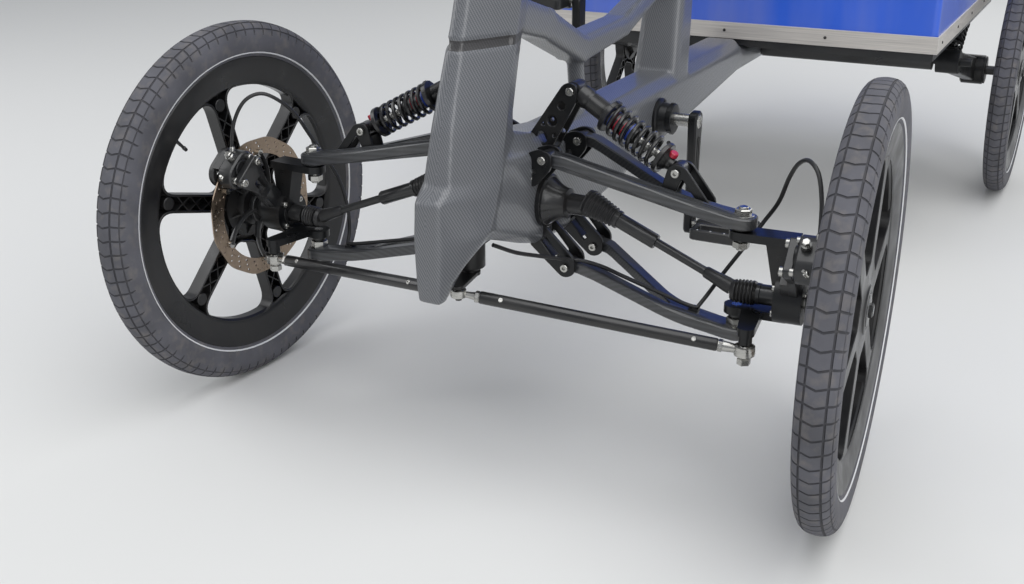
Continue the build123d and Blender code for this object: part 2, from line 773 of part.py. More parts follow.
inner_eye = (inner_ball_x, inner_ball_y, relay_z)
outer_eye = (outer_ball_x, outer_ball_y, outer_ball_z)
with BuildPart() as tie_rod:
    tie_run = along(inner_eye, outer_eye)
    tie_length = distance(inner_eye, outer_eye)
    with Locations(Location(inner_eye)):
        Cylinder(radius=9.5, height=10)
    with BuildSketch(tie_run.offset(6)):
        Circle(4)
    extrude(amount=tie_length - 12)
    with BuildSketch(tie_run.offset(26)):
        Circle(tie_rod_radius)
    extrude(amount=tie_length - 52)
    with Locations(Location(outer_eye)):
        Cylinder(radius=12, height=16)
    with Locations(Location((outer_ball_x, outer_ball_y, outer_ball_z - 13))):
        Cylinder(radius=7.5, height=10)
    with Locations(Location(inner_eye)):
        Cylinder(radius=4 + pin_clearance, height=30, mode=Mode.SUBTRACT)

# Handlebar: steering shaft, stem, swept bar, grips with brake levers
bar_reach = 40.0
with BuildPart() as handlebar:
    top = head_point + head_axis * 430
    head_plane = Plane(origin=head_point + head_axis * 102, x_dir=(1, 0, 0), z_dir=head_axis)
    with BuildSketch(head_plane):
        Circle(17 - pin_clearance)
    extrude(amount=70)
    with BuildSketch(head_plane.offset(70)):
        Circle(16)
    extrude(amount=258)
    bar_points = [
        (0, top.Y, top.Z),
        (130, top.Y, top.Z),
        (220, top.Y + 60, top.Z + 45),
        (350, top.Y + 140, top.Z + 40),
    ]
    for side in (1, -1):
        for start, end in zip(bar_points, bar_points[1:]):
            rod((side * start[0], *start[1:]), (side * end[0], *end[1:]), 11)
        for point in bar_points[1:3]:
            with Locations(Location((side * point[0], point[1], point[2]))):
                Sphere(11)
    with Locations(Plane(origin=top, x_dir=(0, 0, 1), z_dir=(1, 0, 0))):
        Cylinder(radius=19, height=46)

with BuildPart() as grips:
    for side in (1, -1):
        bend = Vector(side * bar_points[2][0], bar_points[2][1], bar_points[2][2])
        end = Vector(side * bar_points[3][0], bar_points[3][1], bar_points[3][2])
        grip_run = along((bend.X, bend.Y, bend.Z), (end.X, end.Y, end.Z))
        with BuildSketch(grip_run.offset(30)):
            Circle(16)
            Circle(11, mode=Mode.SUBTRACT)
        extrude(amount=125)
        with BuildSketch(grip_run.offset(12)):
            Circle(15)
            Circle(11, mode=Mode.SUBTRACT)
        extrude(amount=14)
        lever_start = bend + (end - bend).normalized() * 18 + Vector(0, -14, -6)
        lever_end = bend + (end - bend).normalized() * 120 + Vector(0, -44, -26)
        rod((lever_start.X, lever_start.Y, lever_start.Z), (lever_end.X, lever_end.Y, lever_end.Z), 5)
    add(handlebar.part, mode=Mode.SUBTRACT)

# Crank set and pedals
crank_axis = Plane(origin=(0, crank_y, crank_z), x_dir=(0, 1, 0), z_dir=(1, 0, 0))
with BuildPart() as bottom_bracket:
    for side in (1, -1):
        face = Plane(origin=(side * (beam_half_width - 6), crank_y, crank_z), x_dir=(0, 1, 0), z_dir=(side, 0, 0))
        with BuildSketch(face):
            Circle(30)
            Circle(10 + pin_clearance, mode=Mode.SUBTRACT)
        extrude(amount=34)
    add(main_frame.part, mode=Mode.SUBTRACT)

with BuildPart() as crank_set:
    with Locations(crank_axis):
        Cylinder(radius=10, height=2 * crank_inner_x)
    for side in (1, -1):
        arm_plane = Plane(origin=(side * crank_inner_x, crank_y, crank_z), x_dir=(0, 1, 0), z_dir=(side, 0, 0))
        # the planes' second axes point up on the left and down on the right
        pedal_point = (0, -crank_length)
        with BuildSketch(arm_plane):
            Circle(17)
            with Locations(pedal_point):
                Circle(13)
            with Locations((0, pedal_point[1] / 2)):
                Rectangle(22, crank_length)
        extrude(amount=crank_thickness)
        with BuildSketch(arm_plane.offset(crank_thickness)):
            with Locations(pedal_point):
                Circle(spindle_radius)
        extrude(amount=98)

for side, hand in ((1, "left"), (-1, "right")):
    pedal_z = crank_z - side * crank_length
    with BuildPart() as pedal:
        start_x = crank_inner_x + crank_thickness + pedal_gap
        inner_face = Plane(origin=(side * start_x, crank_y, pedal_z), x_dir=(0, 1, 0), z_dir=(side, 0, 0))
        with BuildSketch(inner_face):
            Circle(12)
            Rectangle(90, 22)
        extrude(amount=pedal_length)
        for cell in (-1, 1):
            with BuildSketch(Plane.XY.offset(pedal_z - 20)):
                with Locations((side * (start_x + pedal_length / 2), crank_y + cell * 26)):
                    Rectangle(pedal_length - 18, 24)
            extrude(amount=40, mode=Mode.SUBTRACT)
        with Locations(Plane(origin=(side * start_x, crank_y, pedal_z), x_dir=(0, 1, 0), z_dir=(1, 0, 0))):
            Cylinder(radius=spindle_radius + pin_clearance, height=3 * pedal_length, mode=Mode.SUBTRACT)
    write(pedal.part, f"pedal_{hand}")

# Saddle cushion and back
with BuildPart() as seat_cushion:
    with BuildSketch(Plane(origin=(0, seat_y, seat_z + 10), x_dir=(1, 0, 0), z_dir=(0, 0, 1))):
        with BuildLine():
            Polyline((-40, -190), (40, -190), (150, -20), (170, 110), (-170, 110), (-150, -20), close=True)
        make_face()
        fillet(vertices(), 28)
    extrude(amount=60)
    add(seat_post.part, mode=Mode.SUBTRACT)

with BuildPart() as seat_back:
    back_plane = Plane(origin=(0, seat_y + 150, seat_z + 60), x_dir=(1, 0, 0), z_dir=(0, 0.14, 1))
    with BuildSketch(back_plane.offset(60)):
        RectangleRounded(300, 44, 20)
    extrude(amount=190)
    for side in (1, -1):
        # flat bars from under the cushion up to the back
        with BuildSketch(Plane(origin=(side * 60, 0, 0), x_dir=(0, 1, 0), z_dir=(1, 0, 0))) as bar:
            with BuildLine():
                Polyline((seat_y + 40, seat_z - 11), (seat_y + 150, seat_z - 11), (seat_y + 186, seat_z + 160),
                         (seat_y + 172, seat_z + 160), (seat_y + 138, seat_z), (seat_y + 40, seat_z), close=True)
            make_face()
        extrude(bar.sketch, amount=12, both=True)

# Cargo box: five walled shell, open at the rear for the door
box_length = box_rear - box_front
box_middle = (box_front + box_rear) / 2
with BuildPart() as cargo_box:
    with Locations((0, box_middle, (box_bottom + box_top) / 2)):
        Box(2 * box_half_width, box_length, box_top - box_bottom)
    fillet(cargo_box.edges().filter_by(Axis.Y).group_by(Axis.Z)[-1], 30)
    fillet(cargo_box.faces().sort_by(Axis.Y)[0].edges().group_by(Axis.Z)[-1], 12)
    with Locations((0, box_middle + box_wall, (box_bottom + box_top) / 2)):
        Box(2 * (box_half_width - box_wall), box_length, box_top - box_bottom - 2 * box_wall,
            mode=Mode.SUBTRACT)

# Door hinges: pins on brackets at the box's rear left corner, in barrels on the door
hinge_x = box_half_width + 9.0
hinge_y = box_rear + 12.0
hinge_heights = (560.0, 760.0, 960.0)
hinge_pin_radius = 4.0
with BuildPart() as box_hinges:
    for z in hinge_heights:
        with Locations((hinge_x, hinge_y, z)):
            Cylinder(radius=hinge_pin_radius, height=70)
        for end in (-1, 1):
            with Locations((hinge_x, hinge_y, z + end * 27)):
                Cylinder(radius=7, height=12)
            with Locations(((box_half_width + hinge_x) / 2 + 2, hinge_y - 30, z + end * 27)):
                Box(hinge_x - box_half_width + 4, 60, 12)
    add(cargo_box.part, mode=Mode.SUBTRACT)
    with Locations((0, box_rear + 12, (box_bottom + box_top) / 2)):
        Box(2 * box_half_width + 1, 20, box_top - box_bottom, mode=Mode.SUBTRACT)

with BuildPart() as box_door:
    with Locations((0, box_rear + 12, (box_bottom + box_top) / 2)):
        Box(2 * box_half_width - 2, 18, box_top - box_bottom - 4)
    fillet(box_door.edges().filter_by(Axis.Y).group_by(Axis.Z)[-1], 28)
    with Locations((-300, box_rear + 26, 760)):
        Box(24, 12, 110)
    for z in hinge_heights:
        with Locations((hinge_x, hinge_y, z)):
            Cylinder(radius=7, height=40)
        with Locations((hinge_x - 7, hinge_y + 4, z)):
            Box(14, 8, 40)
        with Locations((hinge_x, hinge_y, z)):
            Cylinder(radius=hinge_pin_radius + pin_clearance, height=60, mode=Mode.SUBTRACT)

with BuildPart() as box_trim:
    for side in (1, -1):
        with Locations((side * (box_half_width + trim_thickness / 2), box_middle, box_bottom + trim_height / 2)):
            Box(trim_thickness, box_length + 2 * trim_thickness, trim_height)
    with Locations((0, box_front - trim_thickness / 2, box_bottom + trim_height / 2)):
        Box(2 * box_half_width + 2 * trim_thickness, trim_thickness, trim_height)

with BuildPart() as box_base:
    with Locations((0, box_middle, (base_bottom + box_bottom) / 2)):
        Box(2 * box_half_width - 8, box_length - 8, box_bottom - base_bottom)
    # tray under the middle of the base, with a channel for the spine
    with Locations((0, box_middle, base_bottom - 15)):
        Box(520, 620, 30)
    with Locations((0, box_middle - 200, base_bottom - 20)):
        Box(2 * beam_half_width + 4, 560, 44, mode=Mode.SUBTRACT)
    # cross tube that carries the rear arms
    arm_pivot_y = rear_y - 300
    arm_pivot_z = 330.0
    rear_arm_x = rear_half_track - 105
    with Locations(Plane(origin=(0, arm_pivot_y, arm_pivot_z), x_dir=(0, 1, 0), z_dir=(1, 0, 0))):
        Cylinder(radius=20, height=2 * rear_arm_x - 60)
    for side in (1, -1):
        with Locations((side * 180, arm_pivot_y, (arm_pivot_z + base_bottom) / 2)):
            Box(240, 24, base_bottom - arm_pivot_z)
    add(main_frame.part, mode=Mode.SUBTRACT)

# Rear arms with hub carriers, and their shocks
with BuildPart() as rear_arm:
    with Locations(Plane(origin=(rear_arm_x, arm_pivot_y, arm_pivot_z), x_dir=(0, 1, 0), z_dir=(1, 0, 0))):
        Cylinder(radius=24, height=44)
        Cylinder(radius=8, height=90)
    start = (rear_arm_x, arm_pivot_y + 6, arm_pivot_z)
    end = (rear_arm_x + 12, rear_y, tyre_radius)
    with BuildSketch(along(start, end)):
        RectangleRounded(30, 44, 6)
    with BuildSketch(along(start, end).offset(distance(start, end))):
        RectangleRounded(26, 52, 6)
    loft()
    with Locations(Plane(origin=(rear_arm_x + 18, rear_y, tyre_radius), x_dir=(0, 1, 0), z_dir=(1, 0, 0))):
        Cylinder(radius=32, height=44)
        Cylinder(radius=axle_radius + pin_clearance, height=60, mode=Mode.SUBTRACT)
    add(box_base.part, mode=Mode.SUBTRACT)

with BuildPart() as rear_shock:
    rear_foot = (rear_arm_x - 24, rear_y - 110.0, 290.0)
    rear_top = (rear_arm_x - 24, rear_y + 30.0, base_bottom - 14)
    with BuildSketch(along(rear_foot, rear_top)):
        Circle(9)
    extrude(amount=distance(rear_foot, rear_top))
    with BuildSketch(along(rear_foot, rear_top).offset(30)):
        Circle(22)
    extrude(amount=100)
    with Locations(Plane(origin=rear_top, x_dir=(0, 1, 0), z_dir=(1, 0, 0))):
        Cylinder(radius=13, height=26)
    with Locations(Plane(origin=rear_foot, x_dir=(0, 1, 0), z_dir=(1, 0, 0))):
        Cylinder(radius=13, height=26)
        Cylinder(radius=7, height=46)
    add(box_base.part, mode=Mode.SUBTRACT)
    add(rear_arm.part, mode=Mode.SUBTRACT)

# Lamps: a head lamp on the column and two tail lamps on the box's rear posts
with BuildPart() as head_lamp:
    with BuildSketch(crosswise(-68)):
        with Locations((0, 722)):
            RectangleRounded(56, 44, 14)
    extrude(amount=44)
    add(main_frame.part, mode=Mode.SUBTRACT)

tail_lamp_x = 300.0
with BuildPart() as tail_lamps:
    for side in (1, -1):
        with Locations((side * tail_lamp_x, box_rear - 22, base_bottom - 20)):
            Box(96, 36, 40)
    fillet(tail_lamps.edges().filter_by(Axis.Y), 8)

# Brake hoses: one run along the lower wishbone to its clip, one loop from there up to the caliper
hose_radius = 2.6
arm_hose_route = [
    # across, behind the front axle, height, bend radius
    (24, -100, 304, 0),
    (54, -44, 276, 40),
    (94, 4, 262, 30),
    (124, 7, 258, 40),
    (180, -3, 247.4, 60),
    (238, -10, 234.8, 40),
    (260, -9, 231, 0),
]
loop_route = [
    (262, -3, 237, 0),
    (271, 20, 256, 16),
    (300, 38, tyre_radius + 37, 26),
    (336, 30, tyre_radius + 103, 30),
    (362, -2, tyre_radius + 165, 22),
    (398, -34, tyre_radius + 171, 18),
    (407, -56, tyre_radius + 137, 14),
    (408, -60, tyre_radius + 83, 0),
]


def hose(route):
    points = [(x, front_y + y, z) for x, y, z, bend in route]
    with BuildLine() as path:
        FilletPolyline(*points, radius=[bend for x, y, z, bend in route[1:-1]])
    with BuildSketch(Plane(origin=path.line @ 0, z_dir=path.line % 0)) as section:
        Circle(hose_radius)
    sweep(section.sketch, path=path.line)


with BuildPart() as arm_hose:
    hose(arm_hose_route)
    add(main_frame.part, mode=Mode.SUBTRACT)
    add(lower_arm.part, mode=Mode.SUBTRACT)
    add(front_brackets.part, mode=Mode.SUBTRACT)

with BuildPart() as caliper_hose:
    hose(loop_route)
    add(caliper.part.moved(knuckle_place), mode=Mode.SUBTRACT)

write(main_frame.part, "main_frame")
write(upper_frame.part, "upper_frame")
write(seat_post.part, "seat_post")
write(front_brackets.part + relay_bearing.part, "front_brackets")
write_pair(upper_arm_assembly, "upper_arm")
write_pair(lower_arm.part, "lower_arm")
write_pair(front_shock.part, "shock_front")
write(bell_housings.part, "bell_housings")
write_pair(axle_shaft.part, "axle_shaft")
write_pair((knuckle_body.part + steering_stud.part).moved(knuckle_place), "knuckle")
write_pair(caliper.part.moved(knuckle_place), "brake_caliper")
write(steering_relay.part, "steering_relay")
write_pair(tie_rod.part, "tie_rod")
write(handlebar.part, "handlebar")
write(grips.part, "grips")
write(bottom_bracket.part, "bottom_bracket")
write(crank_set.part, "crank_set")
write(seat_cushion.part, "seat_cushion")
write(seat_back.part, "seat_back")
write(cargo_box.part + box_hinges.part, "cargo_box")
write(box_door.part, "box_door")
write(box_trim.part, "box_trim")
write(box_base.part, "box_base")
write_pair(rear_arm.part, "rear_arm")
write_pair(rear_shock.part, "shock_rear")
write(head_lamp.part, "head_lamp")
write(tail_lamps.part, "tail_lamps")
write_pair(arm_hose.part, "brake_hose")
write_pair(caliper_hose.part, "brake_loop")
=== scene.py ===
"""Looks of a four-wheeled pedal cargo cycle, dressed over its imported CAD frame."""

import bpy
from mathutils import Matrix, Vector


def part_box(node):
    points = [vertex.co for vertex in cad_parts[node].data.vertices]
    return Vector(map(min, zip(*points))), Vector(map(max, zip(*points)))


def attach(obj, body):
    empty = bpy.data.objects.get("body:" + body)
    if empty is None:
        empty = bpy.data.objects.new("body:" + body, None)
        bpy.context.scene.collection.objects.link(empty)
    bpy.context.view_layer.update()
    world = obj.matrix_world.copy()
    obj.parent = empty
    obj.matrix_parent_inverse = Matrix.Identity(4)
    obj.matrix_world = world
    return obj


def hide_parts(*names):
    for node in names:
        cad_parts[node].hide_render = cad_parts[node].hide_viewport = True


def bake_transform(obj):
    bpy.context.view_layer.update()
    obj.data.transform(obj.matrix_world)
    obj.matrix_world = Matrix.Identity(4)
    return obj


bl_info = {
    "name": "Pedal cargo cycle",
    "version": (1, 0, 0),
    "blender": (4, 2, 0),
    "location": "3D View > Sidebar > Cargo cycle",
    "description": "Dresses the CAD frame of a four-wheeled pedal cargo cycle with its finished pieces",
    "category": "Object",
}

from math import asin, cos, pi, radians, sin, sqrt

import bmesh
import bpy
from bpy.props import FloatProperty, FloatVectorProperty, IntProperty, PointerProperty
from bpy.types import Operator, Panel, PropertyGroup
from mathutils import Matrix, Vector

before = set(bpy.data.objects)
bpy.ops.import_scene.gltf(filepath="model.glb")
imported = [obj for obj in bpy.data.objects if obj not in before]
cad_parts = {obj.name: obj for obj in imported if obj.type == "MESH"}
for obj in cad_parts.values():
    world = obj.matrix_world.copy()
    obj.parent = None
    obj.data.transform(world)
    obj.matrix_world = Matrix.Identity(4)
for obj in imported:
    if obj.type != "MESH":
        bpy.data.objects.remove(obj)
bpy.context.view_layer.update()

# Places read from the frame
wheel_low, wheel_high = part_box("tyre_front_left")
front_y = (wheel_low[1] + wheel_high[1]) / 2
rear_low, rear_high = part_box("tyre_rear_left")
rear_y = (rear_low[1] + rear_high[1]) / 2
rear_track = (rear_low[0] + rear_high[0]) / 2
# half the front track, between the wheels' middles
front_track = 0.445
MM = 0.001

sides = ((1, "left"), (-1, "right"))
# turns of a frame whose x axis then points up, back or the other way
X_UP = Matrix.Rotation(-pi / 2, 4, "Y")
X_BACK = Matrix.Rotation(pi / 2, 4, "Z")
X_TURNED = Matrix.Rotation(pi, 4, "Z")


def spot(across, behind, height):
    """A point in millimetres: to the rider's left, behind the front axle, above the ground."""
    return Vector((across * MM, front_y + behind * MM, height * MM))


def stand(across, behind, height):
    """Frame at a spot."""
    return Matrix.Translation(spot(across, behind, height))


def shift(x, y=0.0, z=0.0):
    """Move by millimetres."""
    return Matrix.Translation((x * MM, y * MM, z * MM))


def swing(angle, axis):
    return Matrix.Rotation(angle, 4, axis)


def polar(radius, turn):
    return radius * cos(turn), radius * sin(turn)


# Material nodes
class Finish:
    """Builds one node material round its Principled shader."""

    def __init__(self, name, colour, roughness, metallic=0.0):
        self.material = bpy.data.materials.new(name)
        self.material.use_nodes = True
        self.tree = self.material.node_tree
        self.shader = self.tree.nodes["Principled BSDF"]
        self.shader.inputs["Base Color"].default_value = (*colour, 1)
        self.shader.inputs["Roughness"].default_value = roughness
        self.shader.inputs["Metallic"].default_value = metallic
        self.place = self.tree.nodes.new("ShaderNodeTexCoord").outputs["Object"]

    def node(self, kind, **values):
        made = self.tree.nodes.new(kind)
        for name, value in values.items():
            setattr(made, name, value)
        return made

    def feed(self, socket, value):
        if isinstance(value, bpy.types.NodeSocket):
            self.tree.links.new(value, socket)
        elif value is not None:
            socket.default_value = value

    def sum(self, operation, first, second=None, third=None):
        made = self.node("ShaderNodeMath", operation=operation)
        for socket, value in zip(made.inputs, (first, second, third)):
            self.feed(socket, value)
        return made.outputs[0]

    def split(self):
        made = self.node("ShaderNodeSeparateXYZ")
        self.feed(made.inputs[0], self.place)
        return made.outputs

    def noise(self, scale, detail=3.0, stretch=None):
        place = self.place
        if stretch:
            mapping = self.node("ShaderNodeMapping")
            self.feed(mapping.inputs["Vector"], place)
            mapping.inputs["Scale"].default_value = stretch
            place = mapping.outputs[0]
        made = self.node("ShaderNodeTexNoise")
        self.feed(made.inputs["Vector"], place)
        made.inputs["Scale"].default_value = scale
        made.inputs["Detail"].default_value = detail
        return made.outputs["Fac"]

    def limits(self, value, low, high, start=0.0, end=1.0):
        made = self.node("ShaderNodeMapRange")
        self.feed(made.inputs["Value"], value)
        for name, number in (("From Min", low), ("From Max", high), ("To Min", start), ("To Max", end)):
            self.feed(made.inputs[name], number)
        return made.outputs["Result"]

    def mix(self, share, first, second):
        made = self.node("ShaderNodeMix", data_type="RGBA")
        self.feed(made.inputs["Factor"], share)
        for name, value in (("A", first), ("B", second)):
            socket = [s for s in made.inputs if s.name == name and s.type == "RGBA"][0]
            self.feed(socket, (*value, 1) if isinstance(value, tuple) else value)
        return [s for s in made.outputs if s.type == "RGBA"][0]

    def colour(self, value):
        self.feed(self.shader.inputs["Base Color"], value)

    def dusty(self, cloud, low, high, most, tone, dust):
        """Colour under a film of dust, as thick as the cloud between its limits."""
        self.colour(self.mix(self.limits(cloud, low, high, 0.0, most), tone, tint(dust)))

    def tones(self, cloud, low, high, colour, darker, lighter):
        return self.mix(self.limits(cloud, low, high), shade(colour, darker), shade(colour, lighter))

    def rough(self, *limits):
        self.feed(self.shader.inputs["Roughness"], self.limits(*limits))

    def relief(self, height, depth, strength=1.0):
        made = self.node("ShaderNodeBump")
        made.inputs["Strength"].default_value = strength
        made.inputs["Distance"].default_value = depth
        self.feed(made.inputs["Height"], height)
        self.feed(self.shader.inputs["Normal"], made.outputs[0])

    def coat(self, weight, roughness):
        self.shader.inputs["Coat Weight"].default_value = weight
        self.shader.inputs["Coat Roughness"].default_value = roughness


def tint(hex_colour):
    """Linear colour of a written sRGB one."""
    parts = [int(hex_colour[k:k + 2], 16) / 255 for k in (0, 2, 4)]
    return tuple(p / 12.92 if p <= 0.04045 else ((p + 0.055) / 1.055) ** 2.4 for p in parts)


def shade(colour, factor):
    return tuple(min(1.0, part * factor) for part in colour)


def twill(finish, across, upward):
    """1 where the tow that runs across lies on top, in a 2/2 twill."""
    step = finish.sum("ADD", finish.sum("FLOOR", across), finish.sum("FLOOR", upward))
    # kept positive before the remainder is taken
    return finish.sum("LESS_THAN", finish.sum("MODULO", finish.sum("ADD", step, 40000.0), 4.0), 1.5)


def bowed(finish, place):
    """Rounded rise of each tow."""
    return finish.sum("SINE", finish.sum("MULTIPLY", finish.sum("FRACT", place), pi))


def carbon_twill(colours, sizes):
    """2/2 twill under satin lacquer: the weave is real, the tone gap between crossing tows is painted sheen
    along the diagonal, and each tow is rounded.
    """
    dark = tuple(colours.tow_sheen_dark)
    finish = Finish("carbon twill", dark, 0.36)
    x, y, z = finish.split()
    flank = finish.sum("ADD", y, finish.sum("ABSOLUTE", x))
    across = finish.sum("DIVIDE", finish.sum("MULTIPLY", flank, finish.sum("SIGN", x)), sizes.tow_width)
    upward = finish.sum("DIVIDE", finish.sum("MULTIPLY_ADD", x, 0.6, z), sizes.tow_width)
    over = twill(finish, across, upward)
    height = finish.node("ShaderNodeMix", data_type="FLOAT")
    for slot, value in ((0, over), (2, bowed(finish, upward)), (3, bowed(finish, across))):
        finish.feed(height.inputs[slot], value)
    # painted sheen: where the across tow lies on top it takes the lighter tow colour, as if it caught the light
    weave = finish.mix(over, dark, tuple(colours.tow_sheen_light))
    cloud = finish.noise(9.0, 4.0)
    dusty = finish.mix(finish.limits(cloud, 0.45, 0.95, 0.0, 0.12), weave, tint("8d8880"))
    # painted shade: the recessed lap band round the column is darkened towards a dark brown
    lap_shade_band = finish.sum("MULTIPLY", finish.sum("GREATER_THAN", z, sizes.lap_low),
                         finish.sum("LESS_THAN", z, sizes.lap_high))
    lap_shade_band = finish.sum("MULTIPLY", lap_shade_band, finish.sum("LESS_THAN", y, front_y - 0.02))
    finish.colour(finish.mix(finish.sum("MULTIPLY", lap_shade_band, 0.8), dusty, tint("1c1714")))
    finish.rough(cloud, 0.2, 0.9, 0.30, 0.38)
    finish.relief(height.outputs[0], 0.00022, 0.45)
    finish.coat(0.5, 0.16)
    return finish.material


def carbon_cloth(colours, sizes):
    """Fine carbon weave of the wishbones, darker than the frame and lying flat on them."""
    dark = shade(tuple(colours.tow_sheen_dark), 0.30)
    finish = Finish("carbon cloth", dark, 0.3)
    x, y, z = finish.split()
    tow = sizes.tow_width * 1.15
    along = finish.sum("DIVIDE", finish.sum("ADD", x, y), tow)
    across = finish.sum("DIVIDE", finish.sum("ADD", finish.sum("SUBTRACT", y, x), z), tow)
    # painted sheen: the crossing tows are a lighter copy of the same dark colour
    weave = finish.mix(twill(finish, along, across), dark, shade(dark, 1.7))
    cloud = finish.noise(24.0, 4.0)
    finish.dusty(cloud, 0.5, 0.8, 0.10, weave, "8d8880")
    finish.rough(cloud, 0.3, 0.8, 0.30, 0.42)
    finish.relief(bowed(finish, along), 0.00008, 0.25)
    finish.coat(0.55, 0.12)
    return finish.material


def worn_metal(name, colour, roughness, metallic, dust):
    """Anodised or plated metal with fine grain, handling marks and patches of road dust."""
    finish = Finish(name, colour, roughness, metallic)
    patch = finish.noise(34.0, 5.0)
    tone = finish.tones(patch, 0.35, 0.7, colour, 0.85, 1.2)
    finish.dusty(finish.noise(13.0, 6.0), 0.5, 0.78, dust, tone, "9a9288")
    finish.rough(patch, 0.3, 0.75, roughness * 0.82, min(1.0, roughness * 1.3))
    finish.relief(finish.noise(900.0, 2.0), 0.00003, 0.5)
    return finish.material


def brushed_metal(name, colour, roughness, stretch, metallic=1.0):
    """Rolled or drawn metal, its grain along one axis."""
    finish = Finish(name, colour, roughness, metallic)
    grain = finish.noise(60.0, 4.0, stretch)
    finish.colour(finish.tones(grain, 0.3, 0.7, colour, 0.82, 1.1))
    finish.rough(grain, 0.3, 0.7, roughness * 0.8, roughness * 1.3)
    finish.relief(grain, 0.00005, 0.35)
    return finish.material


def road_rubber(name, colour, dirt):
    """Tyre rubber: matt, greyed by the road, with fine pores."""
    finish = Finish(name, colour, 0.78)
    patch = finish.noise(21.0, 6.0)
    worn = finish.tones(patch, 0.35, 0.72, colour, 0.8, 1.25)
    finish.dusty(finish.noise(70.0, 4.0), 0.5, 0.8, dirt, worn, "8f867a")
    finish.rough(patch, 0.3, 0.8, 0.68, 0.9)
    finish.relief(finish.noise(1500.0, 2.0), 0.00018, 0.5)
    return finish.material


def gloss_plastic(name, code, roughness, dust, coat=0.5):
    """Moulded or lacquered surface with faint waviness and a film of dust."""
    finish = Finish(name, tint(code), roughness)
    film = finish.noise(18.0, 5.0)
    finish.dusty(film, 0.45, 0.8, dust, tint(code), "9b958c")
    finish.rough(film, 0.3, 0.8, roughness * 0.8, roughness * 2.0)
    finish.relief(finish.noise(45.0, 3.0), 0.0001, 0.05)
    finish.coat(coat, 0.14)
    return finish.material


def painted_panel(name, colour):
    """Coated sheet: even colour, slight orange peel, dust low down and faint streaks."""
    finish = Finish(name, colour, 0.34)
    low = finish.limits(finish.split()[2], 0.40, 0.62, 0.22, 0.02)
    streak = finish.noise(14.0, 5.0, (1.0, 1.0, 0.12))
    dusty = finish.sum("MULTIPLY", finish.limits(streak, 0.35, 0.75), low)
    tone = finish.tones(finish.noise(4.0, 3.0), 0.3, 0.7, colour, 0.93, 1.07)
    finish.colour(finish.mix(dusty, tone, tint("b9b2a6")))
    finish.rough(streak, 0.3, 0.7, 0.28, 0.42)
    finish.relief(finish.noise(380.0, 2.0), 0.00005, 0.35)
    finish.coat(0.3, 0.15)
    return finish.material


def grained_vinyl(name, colour):
    """Upholstery vinyl: pebbled grain with a soft sheen."""
    finish = Finish(name, colour, 0.5)
    pebbles = finish.node("ShaderNodeTexVoronoi")
    finish.feed(pebbles.inputs["Vector"], finish.place)
    pebbles.inputs["Scale"].default_value = 420.0
    finish.relief(pebbles.outputs["Distance"], 0.00035, 0.5)
    finish.colour(finish.tones(finish.noise(15.0, 4.0), 0.4, 0.7, colour, 0.85, 1.35))
    finish.rough(pebbles.outputs["Distance"], 0.0, 0.5, 0.42, 0.62)
    return finish.material


def lamp_lens(name, code, glow):
    """Clear or red moulded lens with ribs."""
    colour = tint(code)
    finish = Finish(name, colour, 0.08)
    wave = finish.node("ShaderNodeTexWave", wave_type="BANDS", bands_direction="X")
    finish.feed(wave.inputs["Vector"], finish.place)
    wave.inputs["Scale"].default_value = 70.0
    finish.relief(wave.outputs["Fac"], 0.0006, 0.5)
    # painted shade and highlight: the colour follows the ribs' relief, darker in the valleys and lighter on the
    # crests
    finish.colour(finish.tones(wave.outputs["Fac"], 0.2, 0.8, colour, 0.8, 1.05))
    finish.shader.inputs["Emission Color"].default_value = (*colour, 1)
    finish.shader.inputs["Emission Strength"].default_value = glow
    finish.coat(1.0, 0.03)
    return finish.material


def studio_floor(name, code):
    finish = Finish(name, tint(code), 0.62)
    finish.rough(finish.noise(1.6), 0.3, 0.7, 0.82, 0.9)
    finish.shader.inputs["Specular IOR Level"].default_value = 0.2
    return finish.material


finishes = {}


def make_finishes(colours, sizes):
    """Every finish of the cycle, by its plain name."""
    tread = tuple(colours.tyre)
    finishes.update({
        "carbon": carbon_twill(colours, sizes),
        "anodised": worn_metal("black anodised", tuple(colours.black), 0.32, 0.3, 0.07),
        "arm": carbon_cloth(colours, sizes),
        "steel": brushed_metal("bright steel", tint("b9b8b4"), 0.26, (1.0, 1.0, 4.0)),
        "aluminium": brushed_metal("rolled aluminium", tint("d6d1cb"), 0.42, (0.15, 1.0, 8.0), 0.6),
        "rotor": brushed_metal("rotor steel", tuple(colours.rotor), 0.30, (6.0, 1.0, 1.0)),
        "tyre": road_rubber("tyre rubber", tread, 0.3),
        # painted shade: the groove floors take the tread colour at half brightness
        "groove": road_rubber("groove rubber", shade(tread, 0.5), 0.12),
        "boot": gloss_plastic("boot rubber", "1d1d1f", 0.34, 0.05, 0.15),
        "gloss": gloss_plastic("gloss black", "101012", 0.26, 0.04, 0.35),
        "wheel": gloss_plastic("wheel black", "0f0f11", 0.30, 0.05, 0.12),
        "plastic": gloss_plastic("moulded black", "18191b", 0.36, 0.06),
        "ring": gloss_plastic("reflective ring", "d9dadc", 0.3, 0.1),
        "red": gloss_plastic("red anodised", "b01030", 0.25, 0.05),
        "blue": gloss_plastic("blue anodised", "2a49a8", 0.25, 0.05),
        "spring": gloss_plastic("spring lacquer", "0f0f11", 0.22, 0.03, 0.4),
        "panel": painted_panel("blue panel", tuple(colours.panel)),
        "vinyl": grained_vinyl("saddle vinyl", tint("232326")),
        "clear": lamp_lens("clear lens", "dfe6ea", 0.15),
        "ruby": lamp_lens("red lens", "9c0c12", 0.05),
        "screw": worn_metal("dark screw", tint("3a3938"), 0.4, 0.8, 0.1),
        "floor": studio_floor("studio floor", "dcdcda"),
    })


